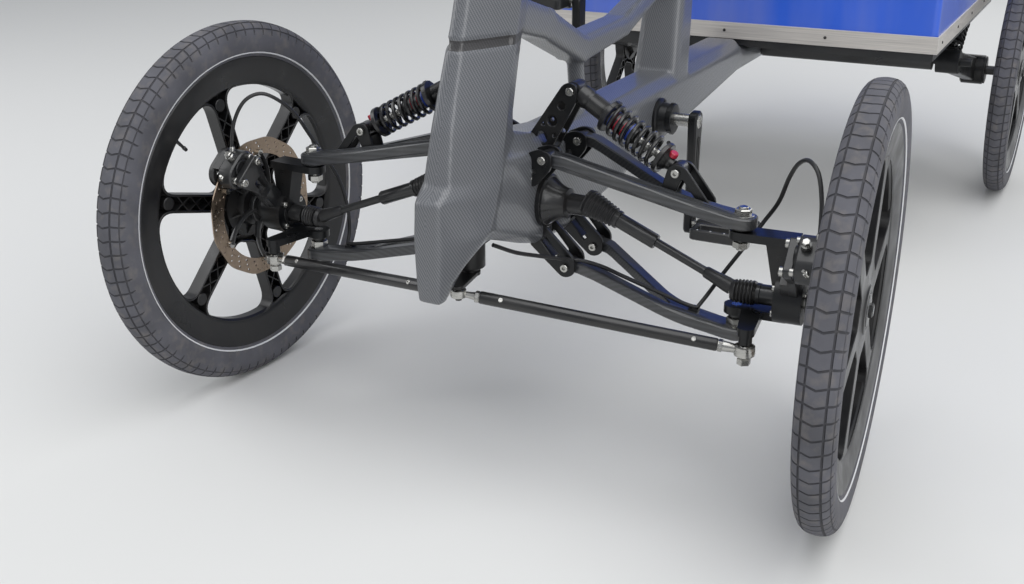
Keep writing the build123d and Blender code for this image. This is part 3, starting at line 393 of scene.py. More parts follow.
# Shapes
def aim(start, end, level=Vector((0, 0, 1))):
    """Frame at start whose x axis runs to end."""
    start, end = Vector(start), Vector(end)
    x = (end - start).normalized()
    y = level.cross(x)
    if y.length < 1e-4:
        y = Vector((0, 1, 0))
    y.normalize()
    z = x.cross(y)
    place = Matrix((x, y, z)).transposed().to_4x4()
    place.translation = start
    return place


def smooth_path(knots, steps=6):
    """Points of a smooth line through the knots."""
    knots = [Vector(k) for k in knots]
    ends = [knots[0] * 2 - knots[1]] + knots + [knots[-1] * 2 - knots[-2]]
    path = []
    for a, b, c, d in zip(ends, ends[1:], ends[2:], ends[3:]):
        for step in range(steps):
            t = step / steps
            path.append(0.5 * ((2 * b) + (c - a) * t + (2 * a - 5 * b + 4 * c - d) * t * t
                               + (3 * b - a - 3 * c + d) * t ** 3))
    return path + [knots[-1]]


def link(name, data):
    obj = bpy.data.objects.new(name, data)
    bpy.context.scene.collection.objects.link(obj)
    return obj


def facet(obj, angle):
    """Smooth faces, with sharp edges from an angle in degrees."""
    obj.data.shade_smooth()
    obj.data.set_sharp_from_angle(angle=radians(angle))
    return obj


class Shape:
    """Gathers the points and faces of one piece; each face keeps the number of its finish."""

    def __init__(self):
        self.points, self.faces, self.numbers = [], [], []

    def add(self, points, faces, place=None, finish=0):
        base = len(self.points)
        for point in points:
            point = Vector(point)
            self.points.append(place @ point if place else point)
        self.faces.extend([tuple(base + k for k in face) for face in faces])
        self.numbers.extend([finish] * len(faces))
        return self

    def lathe(self, profile, place, segments=40, finish=0, ring=False):
        """Turned form: rows are (along the axis, radius) in millimetres; a ring closes on itself."""
        points, faces = [], []
        for reach, radius in profile:
            for k in range(segments):
                turn = 2 * pi * k / segments
                points.append((reach * MM, *polar(radius * MM, turn)))
        rows = len(profile)
        for row in range(rows if ring else rows - 1):
            below, above = row * segments, (row + 1) % rows * segments
            for k in range(segments):
                nxt = (k + 1) % segments
                faces.append((below + k, below + nxt, above + nxt, above + k))
        if not ring:
            faces.append(tuple(reversed(range(segments))))
            faces.append(tuple(range((rows - 1) * segments, rows * segments)))
        return self.add(points, faces, place, finish)

    def block(self, size, place, finish=0):
        """Box of three sizes in millimetres, centred on the frame."""
        x, y, z = (s * MM / 2 for s in size)
        points = [(i, j, k) for i in (-x, x) for j in (-y, y) for k in (-z, z)]
        faces = [(0, 1, 3, 2), (4, 6, 7, 5), (0, 4, 5, 1), (2, 3, 7, 6), (0, 2, 6, 4), (1, 5, 7, 3)]
        return self.add(points, faces, place, finish)

    def tube(self, path, radius, sides=12, finish=0, squash=1.0):
        """Round bar along a path; radius may be a number or one for each point."""
        path = [Vector(p) for p in path]
        radii = radius if isinstance(radius, (list, tuple)) else [radius] * len(path)
        ahead = [(b - a).normalized() for a, b in zip(path, path[1:])]
        tangents = [ahead[0]] + [(a + b).normalized() for a, b in zip(ahead, ahead[1:])] + [ahead[-1]]
        side = Vector((0, 0, 1)).cross(tangents[0])
        if side.length < 1e-4:
            side = Vector((1, 0, 0))
        points, faces = [], []
        for point, tangent, reach in zip(path, tangents, radii):
            side = (side - tangent * side.dot(tangent)).normalized()
            upward = tangent.cross(side)
            for k in range(sides):
                turn = 2 * pi * k / sides
                points.append(point + side * (reach * cos(turn)) + upward * (reach * squash * sin(turn)))
        for low in range(0, len(points) - sides, sides):
            for k in range(sides):
                nxt = low + (k + 1) % sides
                faces.append((low + k, nxt, nxt + sides, low + k + sides))
        faces.append(tuple(reversed(range(sides))))
        faces.append(tuple(range(len(points) - sides, len(points))))
        return self.add(points, faces, None, finish)

    def mesh(self, mesh, place=None, finish=0):
        faces = [tuple(p.vertices) for p in mesh.polygons]
        return self.add([v.co for v in mesh.vertices], faces, place, finish)

    def cut(self, outlines, thickness, place, finish=0, bevel=0.0):
        """Sheet cut to outlines, all in metres."""
        sheet = flat_cut(outlines, thickness, bevel)
        self.mesh(sheet, place, finish)
        bpy.data.meshes.remove(sheet)

    def deliver(self, name, names, body, slot, *nodes, **manner):
        """The finished piece, handed over."""
        return hand_over(self.piece(name, names, **manner), body, slot, *nodes)

    def piece(self, name, names, bevel=0.0, angle=32, mirrored=False):
        """One finished object from what was gathered."""
        points = [Vector((-p.x, p.y, p.z)) for p in self.points] if mirrored else self.points
        faces = [tuple(reversed(f)) for f in self.faces] if mirrored else self.faces
        mesh = bpy.data.meshes.new(name)
        mesh.from_pydata([tuple(p) for p in points], [], faces)
        for label in names:
            mesh.materials.append(finishes[label])
        mesh.polygons.foreach_set("material_index", self.numbers)
        mesh.update()
        obj = link(name, mesh)
        if bevel:
            round_edges(obj, bevel, angle)
        return facet(obj, angle)


def settle(obj):
    """Applies the object's modifiers to its mesh."""
    depsgraph = bpy.context.evaluated_depsgraph_get()
    mesh = bpy.data.meshes.new_from_object(obj.evaluated_get(depsgraph))
    obj.modifiers.clear()
    old = obj.data
    obj.data = mesh
    mesh.name = obj.name
    if old.users == 0 and old.name.split(".")[0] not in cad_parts:
        bpy.data.meshes.remove(old)


def round_edges(obj, width, angle=32):
    bevel = obj.modifiers.new("edges", "BEVEL")
    bevel.width = width
    bevel.segments = 2
    bevel.limit_method = "ANGLE"
    bevel.angle_limit = radians(angle)
    settle(obj)


def cad_copy(name, nodes, label):
    """Merged copy of CAD nodes as flat faces, ready for finishing."""
    shell = bmesh.new()
    for node in nodes:
        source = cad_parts[node]
        part = source.data.copy()
        part.transform(source.matrix_world)
        shell.from_mesh(part)
        bpy.data.meshes.remove(part)
    bmesh.ops.remove_doubles(shell, verts=shell.verts, dist=2e-5)
    bmesh.ops.dissolve_limit(shell, angle_limit=radians(1.0), verts=shell.verts, edges=shell.edges,
                             use_dissolve_boundaries=False)
    for face in shell.faces:
        face.material_index = 0
    mesh = bpy.data.meshes.new(name)
    shell.to_mesh(mesh)
    shell.free()
    mesh.materials.clear()
    mesh.materials.append(finishes[label])
    return link(name, mesh)


def dressed(name, node, label, width):
    """CAD form with its edges broken, as machined or moulded parts have them."""
    obj = cad_copy(name, [node], label)
    round_edges(obj, width)
    facet(obj, 38)
    # the large flats keep their own facing beside the broken edges
    even = obj.modifiers.new("even", "WEIGHTED_NORMAL")
    even.keep_sharp = True
    settle(obj)
    return obj


def hand_over(obj, body, slot, *nodes):
    """The piece rides on its body and stands for its CAD nodes; its slot is not used."""
    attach(obj, body)
    if nodes:
        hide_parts(*nodes)
    return obj


def flat_cut(outlines, thickness, bevel=0.0):
    """Mesh of a sheet cut to closed outlines (the first holds the others), lying in y and z."""
    curve = bpy.data.curves.new("cut", "CURVE")
    curve.dimensions = "2D"
    curve.fill_mode = "BOTH"
    curve.extrude = thickness / 2 - bevel
    curve.bevel_depth = bevel
    curve.bevel_resolution = 0
    curve.offset = -bevel
    for outline in outlines:
        spline = curve.splines.new("POLY")
        spline.points.add(len(outline) - 1)
        for point, (a, b) in zip(spline.points, outline):
            point.co = (a, b, 0, 1)
        spline.use_cyclic_u = True
    holder = bpy.data.objects.new("cut", curve)
    mesh = bpy.data.meshes.new_from_object(holder)
    bpy.data.objects.remove(holder)
    bpy.data.curves.remove(curve)
    merged = bmesh.new()
    merged.from_mesh(mesh)
    bmesh.ops.remove_doubles(merged, verts=merged.verts, dist=1e-6)
    bmesh.ops.recalc_face_normals(merged, faces=merged.faces)
    merged.to_mesh(mesh)
    merged.free()
    mesh.transform(Matrix(((0, 0, 1, 0), (1, 0, 0, 0), (0, 1, 0, 0), (0, 0, 0, 1))))
    return mesh


def circle(radius, count=72, centre=(0.0, 0.0), start=0.0):
    return [(centre[0] + radius * cos(start + 2 * pi * k / count),
             centre[1] + radius * sin(start + 2 * pi * k / count)) for k in range(count)]


# Fasteners, set out by geometry nodes
def fastener_tree():
    """Sets one head at each point, turned to the point's own facing."""
    tree = bpy.data.node_groups.get("set fasteners")
    if tree:
        return tree
    tree = bpy.data.node_groups.new("set fasteners", "GeometryNodeTree")
    for name, kind in (("Geometry", "Geometry"), ("Head", "Object"), ("Size", "Float"),
                       ("Finish", "Material")):
        tree.interface.new_socket(name, in_out="INPUT", socket_type="NodeSocket" + kind)
    tree.interface.new_socket("Geometry", in_out="OUTPUT", socket_type="NodeSocketGeometry")
    given, result, facing, turn, head, copies, real, paint = (tree.nodes.new(kind) for kind in (
        "NodeGroupInput", "NodeGroupOutput", "GeometryNodeInputNamedAttribute",
        "FunctionNodeAlignRotationToVector", "GeometryNodeObjectInfo", "GeometryNodeInstanceOnPoints",
        "GeometryNodeRealizeInstances", "GeometryNodeSetMaterial"))
    facing.data_type = "FLOAT_VECTOR"
    facing.inputs["Name"].default_value = "facing"
    turn.axis = "X"
    vector = next(s for s in facing.outputs if s.enabled)
    tree.links.new(vector, turn.inputs["Vector"])
    for source, output, target, entry in (
            (given, "Geometry", copies, "Points"), (given, "Head", head, "Object"),
            (head, "Geometry", copies, "Instance"), (turn, "Rotation", copies, "Rotation"),
            (given, "Size", copies, "Scale"), (copies, "Instances", real, "Geometry"),
            (real, "Geometry", paint, "Geometry"), (given, "Finish", paint, "Material"),
            (paint, "Geometry", result, "Geometry")):
        tree.links.new(source.outputs[output], target.inputs[entry])
    return tree


def socket_head():
    """Cap screw head with its hexagon socket, facing +x, 6 mm in radius."""
    head = Shape().lathe([(-1, 6), (3.8, 6), (4.5, 5.3), (4.5, 3.6)], Matrix(), 24)
    head.faces.pop()
    head.numbers.pop()
    base = len(head.points)
    rim = base - 24
    for depth in (0.0045, 0.0012):
        for k in range(24):
            turn = 2 * pi * k / 24
            nearest = (turn + pi / 6) % (pi / 3) - pi / 6
            head.points.append(Vector((depth, *polar(0.0031 * cos(pi / 6) / cos(nearest), turn))))
    for k in range(24):
        nxt = (k + 1) % 24
        head.faces.append((rim + k, rim + nxt, base + nxt, base + k))
        head.faces.append((base + k, base + nxt, base + 24 + nxt, base + 24 + k))
    head.faces.append(tuple(base + 24 + k for k in range(24)))
    head.numbers.extend([0] * 49)
    return head.piece("socket head", ["steel"], angle=25)


def dome_head():
    """Low domed rivet or button head, 4 mm in radius."""
    rows = [(-0.5, 4), (0.6, 3.9), (1.4, 3.1), (1.9, 1.8), (2, 0.9)]
    return Shape().lathe(rows, Matrix(), 14).piece("dome head", ["steel"], angle=40)


def fasteners(name, head, places, size, label):
    """Heads at (point, facing) pairs, as one plain mesh."""
    mesh = bpy.data.meshes.new(name)
    mesh.from_pydata([tuple(point) for point, facing in places], [], [])
    attribute = mesh.attributes.new("facing", "FLOAT_VECTOR", "POINT")
    for item, (point, facing) in zip(attribute.data, places):
        item.vector = Vector(facing).normalized()
    obj = link(name, mesh)
    modifier = obj.modifiers.new("fasteners", "NODES")
    modifier.node_group = fastener_tree()
    sockets = {s.name: s.identifier for s in modifier.node_group.interface.items_tree if s.in_out == "INPUT"}
    modifier[sockets["Head"]] = head
    modifier[sockets["Size"]] = float(size)
    modifier[sockets["Finish"]] = finishes[label]
    settle(obj)
    return facet(obj, 25)


def screws(name, form, places, size, body="chassis", label="steel"):
    """Fasteners with heads of one form, handed over."""
    head = form()
    hand_over(fasteners(name, head, places, size, label), body, "silver_metal")
    bpy.data.objects.remove(head)


def capped(tall, radius, chamfer, socket, floor):
    """Rows of a chamfered screw head with a round socket."""
    return [(0, radius), (tall - chamfer, radius), (tall, radius - chamfer), (tall, socket), (floor, socket)]


# Wheels
def wheels(sizes):
    """Each wheel's end, side, hand and place."""
    ends = (("front", front_y, front_track, sizes.toe_out), ("rear", rear_y, rear_track, 0.0))
    for end, axle_y, track, toe in ends:
        for side, hand in sides:
            axle = Matrix.Translation((side * track, axle_y, sizes.tyre_radius))
            yield end, side, hand, axle @ swing(toe if side > 0 else pi - toe, "Z")


def tyre_section(sizes):
    """Smooth half section from the crown to the bead, as (across, radius), with its length so far."""
    top, half = sizes.tyre_radius, sizes.tyre_width / 2
    foot = 0.2152
    tall = top - foot
    knots = [(0, 1.0), (0.43, 0.975), (0.74, 0.89), (0.93, 0.733), (1.0, 0.53), (0.985, 0.34), (0.88, 0.13),
             (0.8, 0.0), (0.72, -0.05)]
    path = smooth_path([Vector((a * half, foot + b * tall, 0)) for a, b in knots], 8)
    rows, length = [], 0.0
    for k, point in enumerate(path):
        if k:
            length += (point - path[k - 1]).length
        rows.append((length, point.x, point.y))
    return rows


def tyre(name, place, chevron, sizes):
    """Road tyre: tread blocks between ring grooves and shallow V cuts, and smooth side walls."""
    rows = tyre_section(sizes)
    total = rows[-1][0]
    # distance from the crown and share of the ring groove's depth there
    columns = [(0, 0), (0.0055, 0), (0.0104, 0), (0.0109, 1), (0.0127, 1), (0.0132, 0), (0.0185, 0),
               (0.0229, 0), (0.0234, 0.8), (0.0248, 0.8), (0.0253, 0), (0.0295, 0), (0.0325, 0), (0.0333, 0),
               (0.037, 0), (0.0415, 0), (0.0465, 0), (0.0515, 0), (0.0565, 0), (total, 0)]
    # share of the block's pitch and of the cut's depth
    blocks = [(0.0, 1), (0.09, 1), (0.118, 0), (0.55, 0), (0.972, 0)]
    depth = sizes.tread_depth

    def at(reach):
        for low, high in zip(rows, rows[1:]):
            if reach <= high[0] + 1e-9:
                share = (reach - low[0]) / (high[0] - low[0])
                return low[1] + (high[1] - low[1]) * share, low[2] + (high[2] - low[2]) * share
        return rows[-1][1], rows[-1][2]

    def normal(reach):
        a, b = at(max(reach - 4e-4, 0)), at(min(reach + 4e-4, total))
        along = Vector((b[0] - a[0], b[1] - a[1]))
        along.normalize()
        return -along.y, along.x

    full = [(-reach, ring) for reach, ring in reversed(columns[1:])] + columns
    count = sizes.tread_blocks
    points, faces, numbers, sinks = [], [], [], []
    for block in range(count):
        for start, cut in blocks:
            for reach, ring in full:
                distance = abs(reach)
                across, radius = at(distance)
                out_x, out_r = normal(distance) if distance else (0, 1)
                fade = max(0.0, min(1.0, (0.0333 - distance) / 0.001))
                sunk = depth * max(ring, 0.85 * cut * fade)
                if distance < 0.0121:
                    lead = 0.0036 * (1 - distance / 0.0121)
                else:
                    lead = 0.0 if distance > 0.0333 else 0.1 * (distance - 0.0121)
                across = (across - out_x * sunk) * (1 if reach >= 0 else -1)
                radius = radius - out_r * sunk
                wave = max(0.0, 1 - max(0.0, distance - 0.03) / 0.01)
                turn = 2 * pi * (block + start) / count + chevron * lead * wave / sizes.tyre_radius
                points.append((across, *polar(radius, turn)))
                sinks.append(sunk)
    wide = len(full)
    total_rows = count * len(blocks)
    for row in range(total_rows):
        nxt = (row + 1) % total_rows
        for k in range(wide - 1):
            face = (row * wide + k, row * wide + k + 1, nxt * wide + k + 1, nxt * wide + k)
            faces.append(face)
            # faces sunk deep in the grooves take the darker groove finish: painted shade
            numbers.append(1 if sum(sinks[j] for j in face) > 1.6 * depth else 0)
        faces.append((row * wide + wide - 1, row * wide, nxt * wide, nxt * wide + wide - 1))
        numbers.append(0)
    made = Shape().add(points, [tuple(reversed(f)) for f in faces], place)
    made.numbers = numbers
    obj = made.piece(name, ["tyre", "groove"], angle=28)
    bright = Shape()
    for side in (1, -1):
        section = [(side * 19.1, 218.6), (side * 20.2, 219.3), (side * 20.5, 220.7), (side * 19.2, 220.5)]
        bright.lathe(section[::-1] if side > 0 else section, place, 96, ring=True)
    stripe = bright.piece(name + "_stripe", ["ring"], angle=30)
    return obj, stripe


def rounded_window(sizes, centre):
    """Opening between two spokes, its corners rounded more at the rim than at the hub."""
    outer, inner, half = 0.176, 0.058, sizes.spoke_width / 2
    gap = pi / sizes.spokes
    outer_turn, inner_turn = gap - asin(half / outer), gap - asin(half / inner)

    def on(radius, turn):
        return Vector(polar(radius, turn + centre))

    def bend(a, corner, b, steps=7):
        return [(1 - t) ** 2 * a + 2 * t * (1 - t) * corner + t * t * b
                for t in (k / steps for k in range(steps + 1))]

    big, small = 0.026, 0.011
    outline = []
    for sign in (1, -1):
        rim_corner, hub_corner = on(outer, sign * outer_turn), on(inner, sign * inner_turn)
        along = (hub_corner - rim_corner).normalized()
        rim_start = on(outer, sign * (outer_turn - big / outer))
        hub_end = on(inner, sign * (inner_turn - small / inner))
        part = bend(rim_start, rim_corner, rim_corner + along * big)
        part += bend(hub_corner - along * small, hub_corner, hub_end)
        outline.append(part)
    left, right = outline
    rim_arc = [on(outer, (-1 + 2 * k / 10) * (outer_turn - big / outer)) for k in range(1, 10)]
    hub_arc = [on(inner, (1 - 2 * k / 5) * (inner_turn - small / inner)) for k in range(1, 5)]
    loop = rim_arc + left + hub_arc + list(reversed(right))
    return [(p.x, p.y) for p in loop]


def grown(outline, distance):
    """Outline moved out by a distance."""
    count = len(outline)
    area = sum(a * d - c * b for (a, b), (c, d) in zip(outline, outline[1:] + outline[:1]))
    sign = 1 if area > 0 else -1
    moved = []
    for k in range(count):
        before, here, after = (Vector(outline[(k + j) % count]) for j in (-1, 0, 1))
        run = (after - before).normalized()
        moved.append((here.x + sign * run.y * distance, here.y - sign * run.x * distance))
    return moved


def rim(name, place, sizes, rear):
    """Moulded six-spoke wheel: deep barrel, skinned spokes with raised edges and a lattice inboard."""
    made = Shape()
    half, phase, pitch = sizes.rim_width / 2 / MM, pi / 12, 2 * pi / sizes.spokes
    flange = ((3, 211), (2.7, 214.6), (1, 215.1), (-0.3, 213.7), (0.2, 209), (1.2, 201), (3.5, 192), (4.8, 183),
              (6, 178.5))
    section = [(half - inset, radius) for inset, radius in flange]
    section += [(9.5, 175.5), (7, 173.5)]
    section += [(-across, radius) for across, radius in reversed(section)]
    made.lathe(section[::-1], place, 120, ring=True)
    windows = [rounded_window(sizes, phase + (k + 0.5) * pitch) for k in range(sizes.spokes)]
    made.cut([circle(0.1765, 120)] + windows, 0.007, place @ shift(7.2), 0, 0.0009)
    for window in windows:
        made.cut([grown(window, 0.0034), window], 0.0162, place @ shift(-2.8), 0, 0.0006)
    # lattice in each spoke's channel, and the round pad at its outer end
    reach = sizes.spoke_width / 2 - 0.0025
    span = sqrt(0.0245 ** 2 + 4 * reach ** 2) / MM
    for k in range(sizes.spokes):
        turn = place @ swing(phase + k * pitch, "X")
        for step in range(4):
            low, high = 0.048 + 0.0245 * step, 0.0725 + 0.0245 * step
            for sign in (1, -1):
                run = aim((-0.004, low, -sign * reach), (-0.004, high, sign * reach), Vector((1, 0, 0)))
                made.block((span, 1.8, 12), turn @ run @ shift(span / 2))
        made.lathe([(-10.5, 8.5), (-9.8, 9.2), (4, 9.5)], turn @ shift(0, 159.5), 24)
    made.lathe([(-24, 20.5), (-23.6, 29), (-21.5, 30), (-12, 31), (-10.5, 48), (10.2, 48), (11, 33),
                (11.8, 30), (13.4, 28.5), (13.8, 24), (13, 22.5), (13, 20.5)], place, 60)
    rib = [(0.03, 0.0108), (0.0465, 0.0108), (0.0465, -0.01), (0.03, -0.019)]
    for k in range(sizes.spokes):
        made.add([(x, y, t) for t in (-0.0012, 0.0012) for y, x in rib],
                 [(3, 2, 1, 0), (4, 5, 6, 7), (0, 1, 5, 4), (1, 2, 6, 5), (2, 3, 7, 6), (3, 0, 4, 7)],
                 place @ swing(phase + (k + 0.5) * pitch, "X"))
    # cap, axle nut and valve
    made.lathe([(12.5, 20), (14.2, 19.5), (15, 16.5), (15, 11)], place, 40, 1)
    made.lathe([(14.6, 9), (18, 9), (18.8, 7.6), (19.4, 7.6)], place, 6, 1)
    stem = place @ swing(phase + pitch / 2, "X") @ X_BACK
    made.lathe([(146, 2.6), (152, 3), (153, 2.1), (176, 3.1)], stem, 12, 1)
    if rear:
        made.lathe([(-104, 9.2), (-103.4, 10), (-4, 10)], place, 32, 1)
    return made.piece(name, ["wheel", "plastic", "steel"], angle=30)


def front_hub(name, place, side):
    """Axle, flange, curved black spider and the drilled rotor."""
    made = Shape()
    face = -37
    cuts = [[polar(0.1005 - 0.0008 * cos(pi * k / 6), pi * k / 72) for k in range(144)], circle(0.0775, 72)]
    for k in range(30):
        for row, radius in enumerate((0.0825, 0.0885, 0.0945)):
            cuts.append(circle(0.0019, 8, polar(radius, pi * k / 15 + side * row * 0.055)))
    made.cut(cuts, 0.002, place @ shift(face + 5), 1)
    for k in range(6):
        path = []
        for step in range(8):
            lean = k * pi / 3 + side * 0.5 * (step / 7) ** 1.3
            path.append(place @ Vector(((face + 2.2) * MM, *polar(0.018 + step * 0.0088, lean))))
        made.tube(path, [0.0065, 0.0058, 0.005, 0.0045, 0.0042, 0.0042, 0.0046, 0.0056], 10, 0, 0.5)
    for k in range(6):
        seat = place @ shift(face + 1, *polar(79.5, k * pi / 3 + side * 0.5))
        made.lathe([(-1, 5), (3.5, 5), (4.5, 4)], seat, 16, 2)
    made.lathe([(face - 1, 23.5), (face, 24.5), (face + 4, 24.5), (face + 5, 17.5), (-23.6, 17.5)], place)
    made.lathe([(-56, 15.5), (-55.5, 16.8), (-40.5, 17), (face - 0.5, 17)], place)
    made.lathe([(-83, 9.8), (-55, 9.8)], place, 32, 2)
    return made.piece(name, ["plastic", "rotor", "steel"], angle=32)


# Suspension
def wound(place, start, run, radius, turns):
    """Points of a coil along the frame, from millimetres."""
    steps = int(turns * 22)
    return [place @ Vector(((start + run * k / steps) * MM, *polar(radius * MM, 2 * pi * turns * k / steps)))
            for k in range(steps + 1)]


def spring_strut(name, top, foot, mirrored, body, coil, wire, turns, start, reach):
    """Damper with its threaded body, collars, knob, accent rings, eyes and a wound coil."""
    made = Shape()
    place = aim(top, foot)
    long = (foot - top).length / MM
    middle, neck, outer = long / 2, body * 0.93, coil + wire / 2
    rows = [(9, body * 0.62), (10, body), (21, body + 0.8), (23, body), (26, neck)]
    for k in range(12):
        at = 27 + k * (start - 36) / 12
        rows += [(at, neck), (at + 0.6, body * 0.985)]
    rows += [(start - 7.5, neck), (middle + 12, neck), (middle + 16, body * 0.8), (middle + 18, 7.2)]
    made.lathe(rows, place)
    made.lathe([(middle + 10, 5.2), (long - 14, 5.2)], place, 24, 1)
    # knurled preload collar and the lower spring seat
    bore, lip = body * 0.94, outer - 0.8
    for at, thick, notches in ((start - 6.5, 6.5, 12), (start + reach, 6, 0)):
        made.lathe([(at, bore), (at, lip), (at + 0.8, outer), (at + thick - 0.8, outer), (at + thick, lip),
                    (at + thick, bore)], place, 36, ring=True)
        for k in range(notches):
            made.block((thick - 2, 1.2, 2.6), place @ swing(k * pi / 6, "X") @ shift(at + thick / 2, outer))
    low = start + reach
    made.lathe([(low + 5, outer - 4), (low + 12, 9.5), (long - 16, 9), (long - 10, 7)], place, 36)
    # accent rings on the body, and the rebound knob by the lower eye
    for at, thick, number in ((-22, 5, 3), (-12.5, 2.8, 2), (-2, 2.8, 2), (6.5, 2.4, 3)):
        made.lathe([(middle + at, body * 0.96), (middle + at + thick, body * 0.96)], place, 36, number)
    knob = place @ shift(long - 16.5, 0, 8.5) @ X_UP
    made.lathe([(0, 4.6), (1.2, 5.6), (5.8, 5.6), (6.8, 4.6)], knob, 16, 2)
    made.tube(wound(place, start + wire / 2, reach - wire, coil, turns), wire / 2 * MM, 10, 4)
    for centre in (top, foot):
        eye = Matrix.Translation(centre) @ X_BACK
        made.lathe([(-9, 9.6), (-8.4, 10.8), (8.4, 10.8), (9, 9.6)], eye, 32)
        made.lathe([(-10.5, 5.8), (-10, 6.6), (10, 6.6), (10.5, 5.8)], eye, 24, 1)
    return made.piece(name, ["gloss", "steel", "red", "blue", "spring"], mirrored=mirrored, angle=30)


def bellows(made, place, start, pitch, radii, valley):
    """Ribbed boot: a rounded ridge for each radius, valleys between."""
    rows = [(start - 3, radii[0] - valley), (start - 2, radii[0] - valley * 0.6)]
    for k, radius in enumerate(radii):
        rows += [(start + (k + along) * pitch, radius - valley * deep)
                 for along, deep in ((0.18, 0.25), (0.38, 0), (0.58, 0.1), (0.8, 0.85), (0.96, 1))]
    made.lathe(rows + [(start + len(radii) * pitch + 4, radii[-1] - valley)], place, 48)


def drive_shaft(name, mirrored):
    """Inner boot, thick tube with its collars, thin shaft and the outer sleeve."""
    inner, outer = spot(120, 0, 337), spot(307, -8.9, 263)
    place = aim(inner, outer)
    end = (outer - inner).length / MM
    made = Shape()
    made.lathe([(0, 12.8), (3, 13.8), (16, 13.8), (20, 12.5)], aim(spot(102, 0, 337), spot(140, 0, 337)))
    bellows(made, place, -14, 5, [17.2, 16.7, 16.1, 15.5, 14.9, 14.2, 13.5, 12.8], 2.4)
    for at, radius in ((-18.5, 15.2), (26.8, 11.2)):
        clamp = [(at, radius), (at + 0.6, radius + 0.5), (at + 4.2, radius + 0.5), (at + 4.8, radius)]
        made.lathe(clamp, place, 36, 1)
    made.lathe([(18, 9.2), (30, 9.6), (84, 9.6), (85.7, 8.8), (86.2, 5.6)], place, 36, 1)
    made.lathe([(85, 5.4), (end - 40, 5.4)], place, 28, 1)
    made.lathe([(end - 46, 5.8), (end - 44, 7.2), (end - 30, 8), (end - 15, 9.4), (end - 8, 9.4)], place, 36)
    joint = [(-along, radius) for along, radius in (polar(8.8, pi * (k + 0.4) / 9.6) for k in range(9))]
    made.lathe(joint, Matrix.Translation(outer), 24, 2)
    return made.piece(name, ["boot", "plastic", "steel"], mirrored=mirrored, angle=34)


def bell_housing(made, side):
    """Drive output: flange, bell, neck and a moulded slot."""
    place = stand(side * 44, 0, 337) @ swing(0 if side > 0 else pi, "Z")
    rows = [(0, 32.5), (0.8, 34), (9.2, 34), (10.5, 32.5), (11, 30.5)]
    rows += [(12 + 3 * k, 30 - 11 * sin(k * pi / 16)) for k in range(9)]
    made.lathe(rows + [(37.5, 16), (38.5, 13.5), (57.5, 13), (58, 12.2)], place, 56)
    made.block((18, 1.4, 10), place @ shift(30, 23.2 * side, -10) @ swing(radians(-38 * side), "Z"), 1)


# Values that a user may change
def length(name, description, default, low=0.0001, high=2.0):
    return FloatProperty(name=name, description=description, default=default, min=low, max=high,
                         unit="LENGTH", precision=4)


def paint(name, description, code):
    return FloatVectorProperty(name=name, description=description, default=tint(code), size=3, min=0, max=1,
                               subtype="COLOR")


class CycleSizes(PropertyGroup):
    """Sizes of the cargo cycle's visible parts."""
    tyre_radius: length("Tyre radius", "From the axle to the crown of the tread", 0.263)
    tyre_width: length("Tyre width", "Across the side walls", 0.045)
    tread_depth: length("Tread depth", "Depth of the tyre's grooves", 0.0012)
    rim_width: length("Rim width", "Across the rim's edges", 0.035)
    spoke_width: length("Spoke width", "Width of a moulded spoke", 0.026)
    tow_width: length("Tow width", "Width of a carbon tow in the weave", 0.0015)
    lap_low: length("Lap bottom", "Lower edge of the column's moulded recess", 0.545)
    lap_high: length("Lap top", "Upper edge of the column's moulded recess", 0.556)
    skin_voxel: length("Skin voxel", "Grid of the carbon skin", 0.0034)
    screw_spacing: length("Screw spacing", "Between the screws of the box's trim", 0.1875)
    hose_radius: length("Hose radius", "Radius of a brake hose", 0.0026)
    pad_travel: length("Pad travel", "How far a pad's cover may swell", 0.006)
    toe_out: FloatProperty(name="Toe out", description="Turn of a front wheel", default=0.064577,
                           subtype="ANGLE")
    tread_blocks: IntProperty(name="Tread blocks", description="Blocks round a tyre", default=86,
                              min=24, max=120)
    spokes: IntProperty(name="Spokes", description="Spokes of a wheel", default=6, min=4, max=12)


class CycleColours(PropertyGroup):
    """Colours of the cargo cycle's finishes."""
    # one carbon in two brightnesses: the gap between the tows is painted sheen
    tow_sheen_light: paint("Light tow", "Tow that catches the light", "6d6f73")
    tow_sheen_dark: paint("Dark tow", "Tow that crosses it", "54565a")
    black: paint("Black", "Anodised and moulded black", "17181a")
    rotor: paint("Rotor", "Heat-tinted brake disc", "a08f7e")
    tyre: paint("Tyre", "Dusty tread rubber", "56565c")
    panel: paint("Panel", "Cargo box paint", "2f5fd2")


def ready(context):
    """The scene's sizes, once the finishes are made from them and the colours."""
    if not finishes:
        make_finishes(context.scene.cycle_colours, context.scene.cycle_sizes)
    return context.scene.cycle_sizes


class Undoable:
    """Options shared by every operator."""
    bl_options = {"REGISTER", "UNDO"}


def skin_over(obj, voxel):
    """Remeshes a form as one skin of even quads."""
    remesh = obj.modifiers.new("skin", "REMESH")
    remesh.mode = "VOXEL"
    remesh.voxel_size = voxel


def soften(obj, iterations):
    smooth = obj.modifiers.new("smooth", "SMOOTH")
    smooth.factor, smooth.iterations = 0.5, iterations
    settle(obj)


